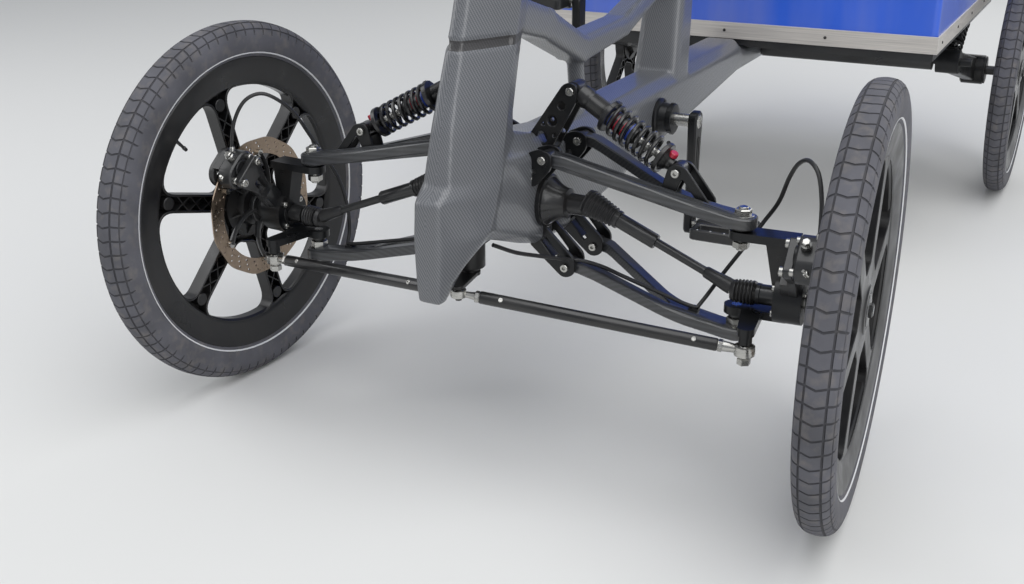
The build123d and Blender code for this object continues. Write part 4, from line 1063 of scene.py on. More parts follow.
class CYCLE_OT_carbon(Undoable, Operator):
    """Carbon nose, column, spine, V member and saddle post as one skin, with its lap groove"""
    bl_idname = "cycle.carbon"
    bl_label = "Carbon frame"

    def execute(self, context):
        sizes = ready(context)
        nodes = ["main_frame", "upper_frame", "seat_post"]
        skin = cad_copy("carbon_frame", nodes, "carbon")
        skin_over(skin, sizes.skin_voxel)
        soften(skin, 5)
        mesh = skin.data
        edge, lip = 0.002, 0.003
        for vertex in mesh.vertices:
            here = vertex.co
            if here.y < front_y - 0.08 and sizes.lap_low - 2 * edge < here.z < sizes.lap_high + 2 * edge:
                low = max(0, min(1, (here.z - sizes.lap_low + edge) / lip))
                high = max(0, min(1, (sizes.lap_high + edge - here.z) / lip))
                vertex.co = here - Vector((vertex.normal.x, vertex.normal.y, 0)) * (0.0025 * low * high)
        mesh.shade_smooth()
        mesh.materials.clear()
        mesh.materials.append(finishes["carbon"])
        hand_over(skin, "chassis", "carbon", *nodes)
        return {"FINISHED"}


class CYCLE_OT_tyres(Undoable, Operator):
    """Four road tyres with their tread and reflecting ring"""
    bl_idname = "cycle.tyres"
    bl_label = "Tyres"

    def execute(self, context):
        sizes = ready(context)
        for end, side, hand, place in wheels(sizes):
            cover, stripe = tyre(f"{end}_tyre_{hand}", place, side, sizes)
            hand_over(cover, f"{end}_wheel_{hand}", "tyre_rubber", f"tyre_{end}_{hand}")
            hand_over(stripe, f"{end}_wheel_{hand}", "tyre_rubber")
        return {"FINISHED"}


class CYCLE_OT_rims(Undoable, Operator):
    """Moulded wheels, and the front hubs with their discs"""
    bl_idname = "cycle.rims"
    bl_label = "Rims and hubs"

    def execute(self, context):
        sizes = ready(context)
        for end, side, hand, place in wheels(sizes):
            wheel = rim(f"{end}_rim_{hand}", place, sizes, end == "rear")
            hand_over(wheel, f"{end}_wheel_{hand}", "black_plastic", f"rim_{end}_{hand}")
            if end == "front":
                hub = front_hub(f"front_hub_{hand}", place, side)
                hand_over(hub, f"front_wheel_{hand}", "disc_metal", f"hub_front_{hand}")
        return {"FINISHED"}


# Plates, wishbones and their brackets
def rounded(corners, steps=5):
    """Closed outline in metres whose corners, (a, b, radius) in millimetres, are rounded."""
    corners = [(a * MM, b * MM, radius * MM) for a, b, radius in corners]
    count = len(corners)
    outline = []
    for k in range(count):
        before, here, after = (Vector(corners[(k + j) % count][:2]) for j in (-1, 0, 1))
        back, on = before - here, after - here
        cut = min(corners[k][2], 0.48 * back.length, 0.48 * on.length)
        if cut < 1e-5:
            outline.append((here.x, here.y))
            continue
        start, end = here + back.normalized() * cut, here + on.normalized() * cut
        for step in range(steps + 1):
            t = step / steps
            point = (1 - t) ** 2 * start + 2 * t * (1 - t) * here + t * t * end
            outline.append((point.x, point.y))
    return outline


def oblong(wide, tall, radius):
    """Corners of a rounded oblong, from its half sizes."""
    return [(-wide, -tall, radius), (wide, -tall, radius), (wide, tall, radius), (-wide, tall, radius)]


def side_plate(made, place, thickness, corners, holes=(), finish=0, bevel=0.001, facets=24, across=1):
    """Plate in the y-z plane of place, with rounded corners and round or rounded openings, in millimetres."""
    cuts = [rounded([(across * a, b, radius) for a, b, radius in corners])]
    for hole in holes:
        if isinstance(hole[0], tuple):
            cuts.append(rounded([(across * a, b, radius) for a, b, radius in hole]))
        else:
            cuts.append(circle(hole[2] * MM, facets, (across * hole[0] * MM, hole[1] * MM)))
    made.cut(cuts, thickness * MM, place, finish, bevel)


def upright_plate(made, side, behind, thickness, corners, holes=(), finish=0, bevel=0.0006):
    """Plate across the vehicle: outline and holes as (across, height)."""
    side_plate(made, stand(0, behind, 0) @ X_BACK, thickness, corners, holes, finish, bevel, 20, -side)


def wishbone(pivot, front, rear, ball):
    """Carbon arm: two legs that meet in a flat outer end, with chamfered edges."""
    px, pz = pivot
    tip, half = -8.9, 10
    outer = [
        (px - 8, front - half, 2), (px + 15, front - half, 10), (224, tip - 19, 40), (276, tip - 16.4, 20),
        (324, tip - 17, 17), (324, tip + 17, 17), (276, tip + 16.4, 20), (224, tip + 19, 40),
        (px + 16, rear + half, 12), (px - 8, rear + half, 2), (px - 8, rear - half, 2),
        (px + 14, rear - half, 10), (222, tip + 1, 9), (222, tip - 1, 9), (px + 15, front + half, 8),
        (px - 8, front + half, 2)]
    mesh = flat_cut([rounded(outer, 4)], 0.014, 0.0015)
    line = [(0, pz), (px, pz), (px + 30, pz - 2), (246, ball + (pz - ball) * 61 / (307 - px) - 2.5),
            (300, ball), (400, ball)]
    for vertex in mesh.vertices:
        level, across, behind = vertex.co
        reach = across / MM
        for (a, b), (c, d) in zip(line, line[1:]):
            if a <= reach <= c:
                level += (b + (d - b) * (reach - a) / (c - a)) * MM
                break
        vertex.co = (across, front_y + behind, level)
    made = Shape().mesh(mesh)
    bpy.data.meshes.remove(mesh)
    for behind in (front, rear):
        bush = stand(px, behind, pz) @ X_BACK
        made.lathe([(-11.2, 6.2), (-10.8, 8.8), (10.8, 8.8), (11.2, 6.2)], bush, 28, 1)
    # ball joint: washer, nut, stud and seat, as (rows, segments, finish)
    turned = [([(6.8, 12.5), (7.4, 13.1), (8.4, 13.1), (8.8, 12.2), (8.8, 8)], 32, 2)]
    if ball > 300:
        turned += [
            ([(8.5, 9.2), (8.8, 10.4), (15, 10.4), (16.2, 8.8), (16.3, 6.2)], 6, 2),
            ([(16, 6), (18, 5.8), (18.6, 4.8)], 24, 2),
            ([(-9.6, 10.5), (-8.8, 12.6), (-7, 13)], 32, 1),
            ([(-32, 6), (-8, 6)], 24, 2),
            ([(-32.5, 8.6), (-31.5, 10.3), (-24.5, 10.3), (-23.5, 9)], 6, 2),
            ([(-35.2, 4.8), (-34.4, 5.8), (-32, 6)], 20, 2),
        ]
    else:
        turned += [
            ([(8.6, 10.4), (9.2, 11.6), (17.8, 11.6), (19, 10), (20, 8.2)], 6, 2),
            ([(19.5, 8.4), (21.5, 9.2), (23.2, 9.2), (24.6, 7.6)], 28, 1),
            ([(18, 6), (35, 6)], 24, 2),
            ([(-11, 6), (-10, 9.8), (-7.8, 11.8), (-7, 11.8)], 28, 2),
        ]
    for rows, segments, finish in turned:
        made.lathe(rows, stand(307, tip, ball) @ X_UP, segments, finish)
    return made


class CYCLE_OT_front_arms(Undoable, Operator):
    """Carbon wishbones with their ball joints, shock clevises, lugs and towers"""
    bl_idname = "cycle.front_arms"
    bl_label = "Wishbones"

    def execute(self, context):
        ready(context)
        for side, hand in sides:
            made = wishbone((62, 401), -26, 79, 350)
            # clevis: two slotted cheeks and the bridge between them
            cheek = [(202, 364, 2), (266, 351, 2), (267, 365, 5), (233, 408, 8), (214, 408, 8)]
            window = [(222, 371, 4), (252, 365, 4), (231, 392, 4)]
            for gap in (-11.5, 11.5):
                upright_plate(made, 1, 1 + gap, 4, cheek, [window], 3, 0.0007)
            made.block((64, 27, 3), stand(234, 1, 361.5) @ swing(radians(11.8), "Y"), 3)
            made.deliver(f"upper_wishbone_{hand}", ["arm", "plastic", "steel", "anodised"], "chassis",
                         "black_metal", f"upper_arm_{hand}", mirrored=side < 0, angle=24)
            made = wishbone((78, 252), 10, 100, 211)
            # clip that holds the brake hose on the arm
            clip = stand(254, -8, 226.5)
            made.block((12, 11, 8), clip, 1)
            made.lathe([(3.5, 3.5), (6.2, 3.5), (7, 2.8)], clip @ X_UP, 16, 2)
            made.deliver(f"lower_wishbone_{hand}", ["arm", "plastic", "steel"], "chassis", "black_metal",
                         f"lower_arm_{hand}", mirrored=side < 0, angle=24)

        lugs = Shape()
        caps, buttons = [], []

        def fix(heads, across, behind, height, out):
            heads.append((spot(across, behind, height), (0, out, 0)))

        upper = [(36, 366, 2), (53, 366, 6), (74, 391, 8), (74, 411, 9), (56, 414, 8), (36, 405, 2)]
        strip = [(28, 276, 3), (28, 306, 2), (47, 306, 4), (92, 264, 8), (91, 243, 9), (75, 237, 8)]
        slot = [(49.5, 291.5, 3), (42.5, 284, 3), (64, 259, 3), (71, 266.5, 3)]
        tower = [(8, 399, 2), (47, 395, 3), (86, 468, 10), (85, 488, 10), (68, 488, 8)]
        holes = [(39, 417, 8), (53, 439, 7), (65.5, 459, 5.4), (22, 404.5, 2.6), (56, 421, 2.8),
                 (40.5, 434, 2.4)]
        for side in (1, -1):
            for out in (-1, 1):
                for pivot in (-26, 79):
                    upright_plate(lugs, side, pivot + out * 14, 5, upper, [(50, 385, 3.4), (43, 396, 2.4)])
                    fix(caps, side * 62, pivot + out * 16.6, 401, out)
                    fix(buttons, side * 45, pivot + out * 16.6, 376, out)
                for pivot in (10, 100):
                    upright_plate(lugs, side, pivot + out * 14, 5, strip, [slot])
                    fix(caps, side * 78, pivot + out * 16.6, 252, out)
                    fix(buttons, side * 38, pivot + out * 16.6, 296, out)
                upright_plate(lugs, side, 20 + out * 13.5, 5, tower, holes)
                fix(caps, side * 77, 20 + out * 16.1, 478, out)
                # screws of the shock's clevis on the arm
                fix(caps, side * 223, 1 + out * 13.6, 398, out)
                fix(buttons, side * 259, 1 + out * 13.6, 359, out)
                fix(buttons, side * 212, 1 + out * 13.6, 369, out)
            for pivot in (-26, 79):
                lugs.block((12, 28, 34), stand(side * 42, pivot, 384))
            for pivot in (10, 100):
                lugs.block((30, 24, 5), stand(side * 46, pivot, 270) @ swing(side * radians(45), "Y"))
            lugs.block((5, 22, 22), stand(side * 46, 20, 412) @ swing(side * radians(-28), "Y"))
            lugs.lathe([(-16, 4), (16, 4)], stand(side * 77, 20, 478) @ X_BACK, 20, 1)
        lugs.lathe([(278, 11.2), (278, 18.2), (279, 19.2), (316.5, 19.2), (317.5, 18.2), (317.5, 11.2)],
                   stand(0, -115, 0) @ X_UP, ring=True)
        lugs.deliver("front_lugs", ["anodised", "steel"], "chassis", "black_metal", "front_brackets",
                     angle=24)
        screws("suspension_cap_screws", socket_head, caps, 0.88)
        screws("suspension_buttons", dome_head, buttons, 0.9)
        return {"FINISHED"}


class CYCLE_OT_front_shocks(Undoable, Operator):
    """Coil-over shocks of the front wheels"""
    bl_idname = "cycle.front_shocks"
    bl_label = "Front shocks"

    def execute(self, context):
        ready(context)
        for side, hand in sides:
            strut = spring_strut(f"front_shock_{hand}", spot(77, 20, 478), spot(223, 1, 398), side < 0,
                                 12.8, 18, 5.2, 7.2, 60, 79)
            hand_over(strut, "chassis", "black_metal", f"shock_front_{hand}")
        return {"FINISHED"}


class CYCLE_OT_drive(Undoable, Operator):
    """Bell-shaped outputs of the drive unit, and the shafts in their boots"""
    bl_idname = "cycle.drive"
    bl_label = "Drive shafts"

    def execute(self, context):
        ready(context)
        bells, places = Shape(), []
        for side in (1, -1):
            bell_housing(bells, side)
            for k in range(6):
                behind, above = polar(30.6, k * pi / 3 + 0.3)
                places.append((spot(side * 53.6, behind, 337 + above), (side, 0, 0)))
        bells.deliver("drive_outputs", ["gloss", "anodised"], "chassis", "black_metal", "bell_housings",
                      angle=30)
        for side, hand in sides:
            shaft = drive_shaft(f"drive_shaft_{hand}", side < 0)
            hand_over(shaft, "chassis", "boot_rubber", f"axle_shaft_{hand}")
        screws("drive_screws", dome_head, places, 0.55)
        return {"FINISHED"}


# Knuckles and brakes
def knuckle_place():
    """Kingpin frame of the left knuckle, the axle along x, at ground level."""
    return stand(307, -138 * sin(radians(3.7)), 0) @ swing(radians(3.7), "Z")


def caliper(name, mirrored):
    """Two body halves with a bridge, pistons, pins, bolts, bleeder and hose fitting, on a slotted mount."""
    made = Shape()
    base = knuckle_place() @ shift(101, 0, 263) @ swing(radians(40), "X")
    body = rounded([(-29, 86, 6), (-29, 103, 8), (-17, 114, 9), (17, 114, 9), (29, 103, 8), (29, 86, 6),
                    (18, 84, 5), (-18, 84, 5)])
    made.cut([body], 0.0235, base @ shift(-12.2), 0, 0.0022)
    made.cut([body] + [circle(0.0045, 16, (across, 0.099)) for across in (-0.012, 0.012)], 0.009,
             base @ shift(13.2), 0, 0.002)
    made.block((12, 30, 8), base @ shift(4.5, 0, 109.5))
    piston = base @ shift(-24, 0, 98) @ X_TURNED
    made.lathe([(-1, 13.5), (2.2, 13.5), (3, 12.5), (3, 10), (1.6, 9.2)], piston, 36, 1)
    for across in (-20.5, 20.5):
        made.lathe(capped(5.2, 4.8, 0.8, 2.2, 3), base @ shift(-24, across, 99) @ X_TURNED, 20, 2)
    for k in range(4):
        made.block((2.2, 34 - 3 * k, 1.6), base @ shift(18, 0, 90.5 + 4.8 * k))
    pad = rounded([(-15, 82, 2), (15, 82, 2), (17, 97, 3), (-17, 97, 3)])
    for at in (0.8, 8.1):
        made.cut([pad], 0.0016, base @ shift(at, 0, 4), 2)
    # hose fitting: banjo, bolt and the sleeve over the hose's end
    banjo = base @ shift(-14, 4, 113.5) @ X_UP
    made.lathe([(0, 5), (1.4, 6.2), (8, 6.2), (9.4, 4.8)], banjo, 20, 2)
    made.lathe([(9, 5.2), (12.5, 5.2), (13.5, 4)], banjo, 6, 2)
    sleeve = base @ shift(-8, -25.5, 105) @ swing(radians(-115), "Y")
    made.lathe([(0, 3), (6, 3), (6.5, 1.8), (10, 1.8)], sleeve, 12, 2)
    # mount: plate from the hub carrier up to the body
    arm = [(-13, 24, 2), (-12, 60, 6), (-24, 88, 4), (-24, 102, 5), (24, 102, 5), (24, 88, 4), (12, 60, 6),
           (13, 24, 2)]
    side_plate(made, base @ shift(-31), 10.5, arm, [[(-6, 46, 3), (6, 46, 3), (7, 74, 4), (-7, 74, 4)]])
    for across in (-18.5, 18.5):
        made.lathe(capped(5, 5.6, 0.8, 2.7, 2.8), base @ shift(-36.2, across, 94) @ X_TURNED, 20, 2)
    made.block((10, 24, 30), base @ shift(-40, 0, 37))
    return made.piece(name, ["plastic", "anodised", "steel"], mirrored=mirrored, angle=28)


class CYCLE_OT_knuckles(Undoable, Operator):
    """Steered knuckles with their outer boots, and the brake calipers"""
    bl_idname = "cycle.knuckles"
    bl_label = "Knuckles and calipers"

    def execute(self, context):
        ready(context)
        for side, hand in sides:
            carrier = dressed(f"hub_carrier_{hand}", f"knuckle_{hand}", "anodised", 0.0013)
            hand_over(carrier, f"knuckle_{hand}", "black_metal", f"knuckle_{hand}")
            axle = knuckle_place() @ shift(0, 0, 263)
            boot = Shape()
            bellows(boot, axle, -4.5, 4.2, [13.8, 14.3, 14.7, 15, 15.1, 15.1], 2.2)
            boot.lathe([(23.5, 12.4), (24, 13), (27.5, 13), (28, 12.6), (28.2, 12.2), (47, 12.2)], axle,
                       40, 2)
            # carrier's four bolts round the boot, and a lip on its inboard face
            for k in range(4):
                seat = axle @ shift(47.5, *polar(22.5, pi / 4 + k * pi / 2)) @ X_TURNED
                boot.lathe(capped(4.2, 4.2, 0.8, 2, 2.4), seat, 18, 1)
            boot.lathe([(46.5, 15), (46, 17.5), (47.5, 18)], axle, 40, 2)
            boot.deliver(f"outer_boot_{hand}", ["boot", "steel", "plastic"], f"knuckle_{hand}", "boot_rubber",
                         mirrored=side < 0, angle=34)
            hand_over(caliper(f"caliper_{hand}", side < 0), f"knuckle_{hand}", "black_metal",
                      f"brake_caliper_{hand}")
        return {"FINISHED"}


def rod_end(made, centre, ring, ball):
    """Steel eye round its ball, on a vertical stud."""
    post = Matrix.Translation(centre) @ X_UP
    tall = ring * 0.52
    made.lathe([(-tall, ring * 0.8), (-tall * 0.86, ring * 0.97), (-tall * 0.4, ring), (tall * 0.4, ring),
                (tall * 0.86, ring * 0.97), (tall, ring * 0.8), (tall * 0.9, ball * 0.9),
                (-tall * 0.9, ball * 0.9)], post, 40, 1, ring=True)
    globe = [(-along, radius) for along, radius in (polar(ball, pi * (k + 0.5) / 10) for k in range(10))]
    made.lathe(globe, post, 32, 1)


class CYCLE_OT_steering(Undoable, Operator):
    """Steering relay under the nose, and the tie rods with their rod ends"""
    bl_idname = "cycle.steering"
    bl_label = "Steering rods"

    def execute(self, context):
        ready(context)
        relay = dressed("relay_plate", "steering_relay", "anodised", 0.0009)
        hand_over(relay, "relay", "black_metal", "steering_relay")
        inner, outer = spot(12, -165, 262), spot(338, -72, 217)
        run = aim(inner, outer)
        end = (outer - inner).length / MM
        face = Vector((0.35, -0.75, 0.56)).normalized()
        for side, hand in sides:
            made = Shape()
            made.lathe([(26, 5.6), (26.6, 7.3), (28.5, 7.7), (end - 33.5, 7.7), (end - 31.6, 7.3),
                        (end - 31, 5.6)], run, 36)
            made.lathe([(8.5, 3.6), (12, 4), (18, 4.6), (26.2, 6.2)], run, 24, 1)
            made.lathe([(20.5, 6.6), (21.2, 7.2), (25.2, 7.2), (25.8, 6.6)], run, 6, 1)
            made.lathe([(end - 31.2, 6.6), (end - 24, 6.4), (end - 10, 5.2)], run, 24, 1)
            made.lathe([(end - 30.8, 7), (end - 30.2, 7.6), (end - 26.2, 7.6), (end - 25.6, 7)], run, 6, 1)
            rod_end(made, inner, 9.8, 6.8)
            rod_end(made, outer, 12.4, 8.6)
            post = Matrix.Translation(outer) @ X_UP
            made.lathe([(-18, 6), (-17.2, 8.2), (-10.5, 8.2), (-9.2, 7)], post, 6, 1)
            made.lathe([(-9.5, 5.5), (-6, 5.5)], post, 24, 1)
            for at in (52, end - 60):
                start = run @ Vector((at * MM, 0, 0))
                made.lathe(capped(2, 3, 0.6, 1.4, 1.2), aim(start, start + face) @ shift(6.6), 14, 1)
            made.deliver(f"tie_rod_and_ends_{hand}", ["gloss", "steel"], f"tie_rod_{hand}", "black_metal",
                         f"tie_rod_{hand}", mirrored=side < 0, angle=30)
        return {"FINISHED"}


class CYCLE_OT_hoses(Undoable, Operator):
    """Brake hoses: along the lower wishbone to its clip, and the loop up to the caliper"""
    bl_idname = "cycle.hoses"
    bl_label = "Brake hoses"

    def execute(self, context):
        sizes = ready(context)
        arm_route = [(24, -100, 304), (40, -72, 288), (54, -44, 277), (74, -18, 268), (94, 2, 262.5),
                     (124, 6, 257.5), (152, 1, 252.5), (180, -3, 247), (238, -9.5, 235), (258, -9, 231.5)]
        loop_route = [(258, -9, 231.5), (266, 8, 246), (280, 26, 272), (300, 38, 305), (320, 35, 338),
                      (338, 28, 368), (352, 12, 404), (366, -8, 427), (381, -24, 436), (396, -40, 427),
                      (405, -53, 402), (408, -59, 372), (408, -60, 352)]
        for side, hand in sides:
            arm, loop = Shape(), Shape()
            for made, route in ((arm, arm_route), (loop, loop_route)):
                made.tube(smooth_path([spot(*point) for point in route], 8), sizes.hose_radius, 14)
            arm.deliver(f"arm_hose_{hand}", ["boot", "steel"], "chassis", "boot_rubber", f"brake_hose_{hand}",
                        mirrored=side < 0, angle=40)
            end = aim(spot(*loop_route[-1]), spot(*loop_route[-2]))
            loop.lathe([(-6, 4), (4, 4.2), (12, 3.6), (14, 2.8)], end, 18, 1)
            obj = loop.piece(f"loop_hose_{hand}", ["boot", "steel"], mirrored=side < 0, angle=40)
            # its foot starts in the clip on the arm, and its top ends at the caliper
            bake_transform(obj)
            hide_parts(f"brake_loop_{hand}")
        return {"FINISHED"}


# Rider's contact points
head_point = Vector((0, front_y - 0.076, 0.6))
head_axis = Vector((0, sin(radians(18.5)), cos(radians(18.5))))
stem_top = head_point + head_axis * 0.43
# half of the bar's line from the stem, in millimetres
bar_knots = [(0, 0, 0), (70, 0, 0), (124, 2, 1), (152, 15, 11), (198, 45, 34), (222, 62, 45), (250, 80, 45.5),
             (350, 140, 40)]


def bar_point(across, behind, above):
    return stem_top + Vector((across, behind, above)) * MM


class CYCLE_OT_cockpit(Undoable, Operator):
    """Steering shaft, stem with its faceplate, swept bar, grips and brake levers"""
    bl_idname = "cycle.cockpit"
    bl_label = "Handlebar"

    def execute(self, context):
        ready(context)
        made = Shape()
        made.lathe([(0, 16), (1, 16.95), (62, 16.95), (63.5, 17.5), (64, 18.8), (76, 18.8), (76.5, 17.6),
                    (77, 18.5), (86, 18.5), (86.5, 17.6), (87, 18.5), (96, 18.5), (97, 16), (262, 15.7),
                    (268, 17.2), (300, 17.6), (309.5, 17)],
                   aim(head_point + head_axis * 0.102, stem_top, Vector((1, 0, 0))), 44)
        made.lathe([(0, 15), (1.2, 18.5), (3, 19.4), (43, 19.4), (44.8, 18.5), (46, 15)],
                   aim(bar_point(-23, 0, 0), bar_point(23, 0, 0)), 44)
        made.block((40, 10, 30), Matrix.Translation(bar_point(0, -17, 2)) @ swing(radians(-14), "X"))
        mirror = [(-x, y, z) for x, y, z in reversed(bar_knots[1:])]
        path = smooth_path([bar_point(*knot) for knot in mirror + bar_knots], 7)
        radii = [0.0155 if abs(p.x) < 0.045 else 0.0111 + 0.0044 * max(0.0, (0.09 - abs(p.x)) / 0.045)
                 for p in path]
        made.tube(path, radii, 22)
        made.deliver("bar_and_stem", ["anodised"], "handlebar", "black_metal", "handlebar", angle=30)
        face = Vector((0, -cos(radians(14)), -sin(radians(14))))
        bolts = [(bar_point(across, -21.5 - 0.25 * up, 2 + up), face)
                 for across in (-14, 14) for up in (-11, 12)]
        screws("stem_screws", socket_head, bolts, 0.6, "handlebar")

        grips = Shape()
        for side in (1, -1):
            bend, end = bar_point(side * 220, 60, 45), bar_point(side * 350, 140, 40)
            run, along = aim(bend, end), (end - bend).normalized()
            rows = [(30, 13.8), (30.5, 15.8), (36, 16)]
            for k in range(22):
                at, reach = 38 + k * 5, 14.8 + 1.1 * sin(pi * (k + 0.5) / 22)
                rows += [(at, reach - 0.7), (at + 0.8, reach), (at + 3.6, reach), (at + 4.4, reach - 0.7)]
            grips.lathe(rows + [(149, 15.2), (150, 16), (153, 15.8), (155, 14), (155.4, 2)], run)
            grips.lathe([(26.5, 14), (27, 15.6), (29.8, 15.6), (30.3, 14)], run, 36, 1)
            grips.lathe([(12, 11.8), (12.5, 14.8), (25.5, 14.8), (26, 11.8)], run, 36, 2)
            body = bend + along * 0.02 + Vector((0, -0.017, -0.004))
            barrel = aim(body - along * 0.02, body + along * 0.018)
            grips.lathe([(0, 5.5), (1.5, 7.2), (30, 7.8), (34, 8.5), (38, 6.8)], barrel, 24, 2)
            pivot = body + along * 0.012 + Vector((0, -0.004, -0.006))
            tip = bend + along * 0.12 + Vector((0, -0.04, -0.024))
            bow = pivot.lerp(tip, 0.3) + Vector((0, -0.005, -0.001))
            blade = smooth_path([pivot, bow, pivot.lerp(tip, 0.7), tip])
            radii = [0.0048 - 0.0014 * abs(k / (len(blade) - 1) - 0.15) for k in range(len(blade))]
            grips.tube(blade, radii, 12, 2, 0.62)
            grips.lathe([(-4, 4.6), (0, 5.2), (4, 4.6)], aim(tip, tip + along), 16, 2)
        grips.deliver("grips_and_levers", ["boot", "steel", "anodised"], "handlebar", "boot_rubber", "grips",
                      angle=34)
        return {"FINISHED"}


class CYCLE_OT_pedals(Undoable, Operator):
    """Crank arms on their axle, bearing covers and cage pedals"""
    bl_idname = "cycle.pedals"
    bl_label = "Cranks and pedals"

    def execute(self, context):
        ready(context)
        middle, throw = stand(0, 418, 354), 168
        covers, cranks = Shape(), Shape()
        for side in (1, -1):
            out = middle @ swing(0 if side > 0 else pi, "Z")
            covers.lathe([(33, 29), (36, 30), (44, 30), (45.5, 28.5), (47, 24), (58, 22.5), (59.5, 23.5),
                          (66, 23.5), (67.2, 22.2), (67.8, 18), (67.8, 10.5)], out, 48)
            for k in range(8):
                covers.block((5.8, 1.6, 6), out @ swing(k * pi / 4, "X") @ shift(62.8, 23.6))
            down = -side * throw
            lean = 1 if down < 0 else -1
            arm = out @ shift(100)
            outline = [(-17, 16 * lean, 15), (-12.5, down / 2, 60), (-13, down - 12.5 * lean, 12)]
            outline += [(-a, b, radius) for a, b, radius in outline[::-1]]
            side_plate(cranks, arm, 13.6, outline, bevel=0.0024)
            near, far = -24 * lean, down + 24 * lean
            groove = [(-4.6, near, 4), (4.6, near, 4), (4.2, far, 4), (-4.2, far, 4)]
            inside = [(a * 0.62, b * 0.985, radius * 0.7) for a, b, radius in groove]
            lip = [rounded(groove), rounded(inside)]
            cranks.cut(lip, 0.001, arm @ shift(7))
            cranks.lathe([(106.5, 11), (107.5, 10), (108, 6.2)], out, 32, 1)
            cranks.lathe([(106, 8.5), (110, 8.5), (110.5, 5.95), (204, 5.95)], out @ shift(0, 0, down), 28, 1)
        cranks.lathe([(-93.2, 9.9), (93.2, 9.9)], middle, 32, 1)
        covers.deliver("bearing_covers", ["anodised"], "chassis", "black_metal", "bottom_bracket", angle=28)
        cranks.deliver("crank_arms", ["anodised", "steel"], "crank", "black_metal", "crank_set", angle=26)

        for side, hand in sides:
            made = Shape()
            place = middle @ shift(0, 0, -side * throw)
            if side < 0:
                place = place @ X_TURNED
            hole = ((14, -37), (38, -37), (38, 37), (14, 37))
            holes = [[(k * a, b, 6) for a, b in hole[::k]] for k in (1, -1)]
            # the cage lies flat: its outline's first axis runs along the vehicle, the second across it
            cage = flat_cut([rounded(oblong(45, 45.5, 9))] + [rounded(hole) for hole in holes], 0.017, 0.0018)
            cage.transform(Matrix(((0, 0, 1, 0), (0, 1, 0, 0), (1, 0, 0, 0), (0, 0, 0, 1))))
            cage.flip_normals()
            made.mesh(cage, place @ shift(159))
            bpy.data.meshes.remove(cage)
            made.lathe([(113.2, 6.2), (113.5, 10.8), (116, 11.6), (201, 11.2), (204.6, 9.8), (205, 6.2)],
                       place, 32, ring=True)
            made.deliver(f"cage_pedal_{hand}", ["plastic"], f"pedal_{hand}", "black_plastic", f"pedal_{hand}",
                         angle=28)
            pins = [(place @ (Vector((159 + across, behind, up * 8.4)) * MM), (0, 0, up))
                    for up in (1, -1) for across in (-32, -11, 11, 32) for behind in (-41.5, 41.5)]
            screws(f"pedal_pins_{hand}", dome_head, pins, 0.5, f"pedal_{hand}")
        return {"FINISHED"}


# Saddle
seat_low, seat_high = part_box("seat_cushion")
seat_y, seat_z = seat_low[1] + 0.190, seat_low[2] - 0.010
pad_voxel = 0.0055
cover_inset = 0.004


def shrink(pad, distance):
    for vertex in pad.data.vertices:
        vertex.co = vertex.co - vertex.normal * distance


def pad_from(name, node, inset):
    """Closed skin of a pad's CAD form, a little inside it, in even quads."""
    pad = cad_copy(name, [node], "vinyl")
    skin_over(pad, pad_voxel)
    settle(pad)
    shrink(pad, inset)
    soften(pad, 8)
    return pad


def stuff(pad, travel):
    """Swells a pad's cover under pressure, then halves its grid."""
    start = [vertex.co.copy() for vertex in pad.data.vertices]
    cloth = pad.modifiers.new("stuffing", "CLOTH")
    cloth.settings.quality = 4
    cloth.settings.use_pressure = True
    cloth.settings.uniform_pressure_force = 4
    cloth.settings.tension_stiffness = 25
    cloth.settings.effector_weights.gravity = 0
    cloth.point_cache.frame_start, cloth.point_cache.frame_end = 1, 20
    for step in range(1, 21):
        bpy.context.scene.frame_set(step)
    swollen = bpy.data.meshes.new_from_object(pad.evaluated_get(bpy.context.evaluated_depsgraph_get()))
    pad.modifiers.clear()
    for vertex, other, before in zip(pad.data.vertices, swollen.vertices, start):
        move = other.co - before
        if move.length > travel:
            move *= travel / move.length
        vertex.co = before + move
    bpy.data.meshes.remove(swollen)
    bpy.context.scene.frame_set(1)
    finer = pad.modifiers.new("finer", "SUBSURF")
    finer.levels = finer.render_levels = 1
    settle(pad)
    pad.data.shade_smooth()


def bump(distance, width):
    return 2.718 ** (-(distance / width) ** 2)


def press_seam(pad, reach, depth, facing):
    """Sinks the cover along a sewn line; reach gives a point's distance from it."""
    width = 0.0035
    for vertex in pad.data.vertices:
        if vertex.normal.dot(facing) >= 0.25 and reach(vertex.co) < 3 * width:
            vertex.co = vertex.co - facing * depth * bump(reach(vertex.co), width)


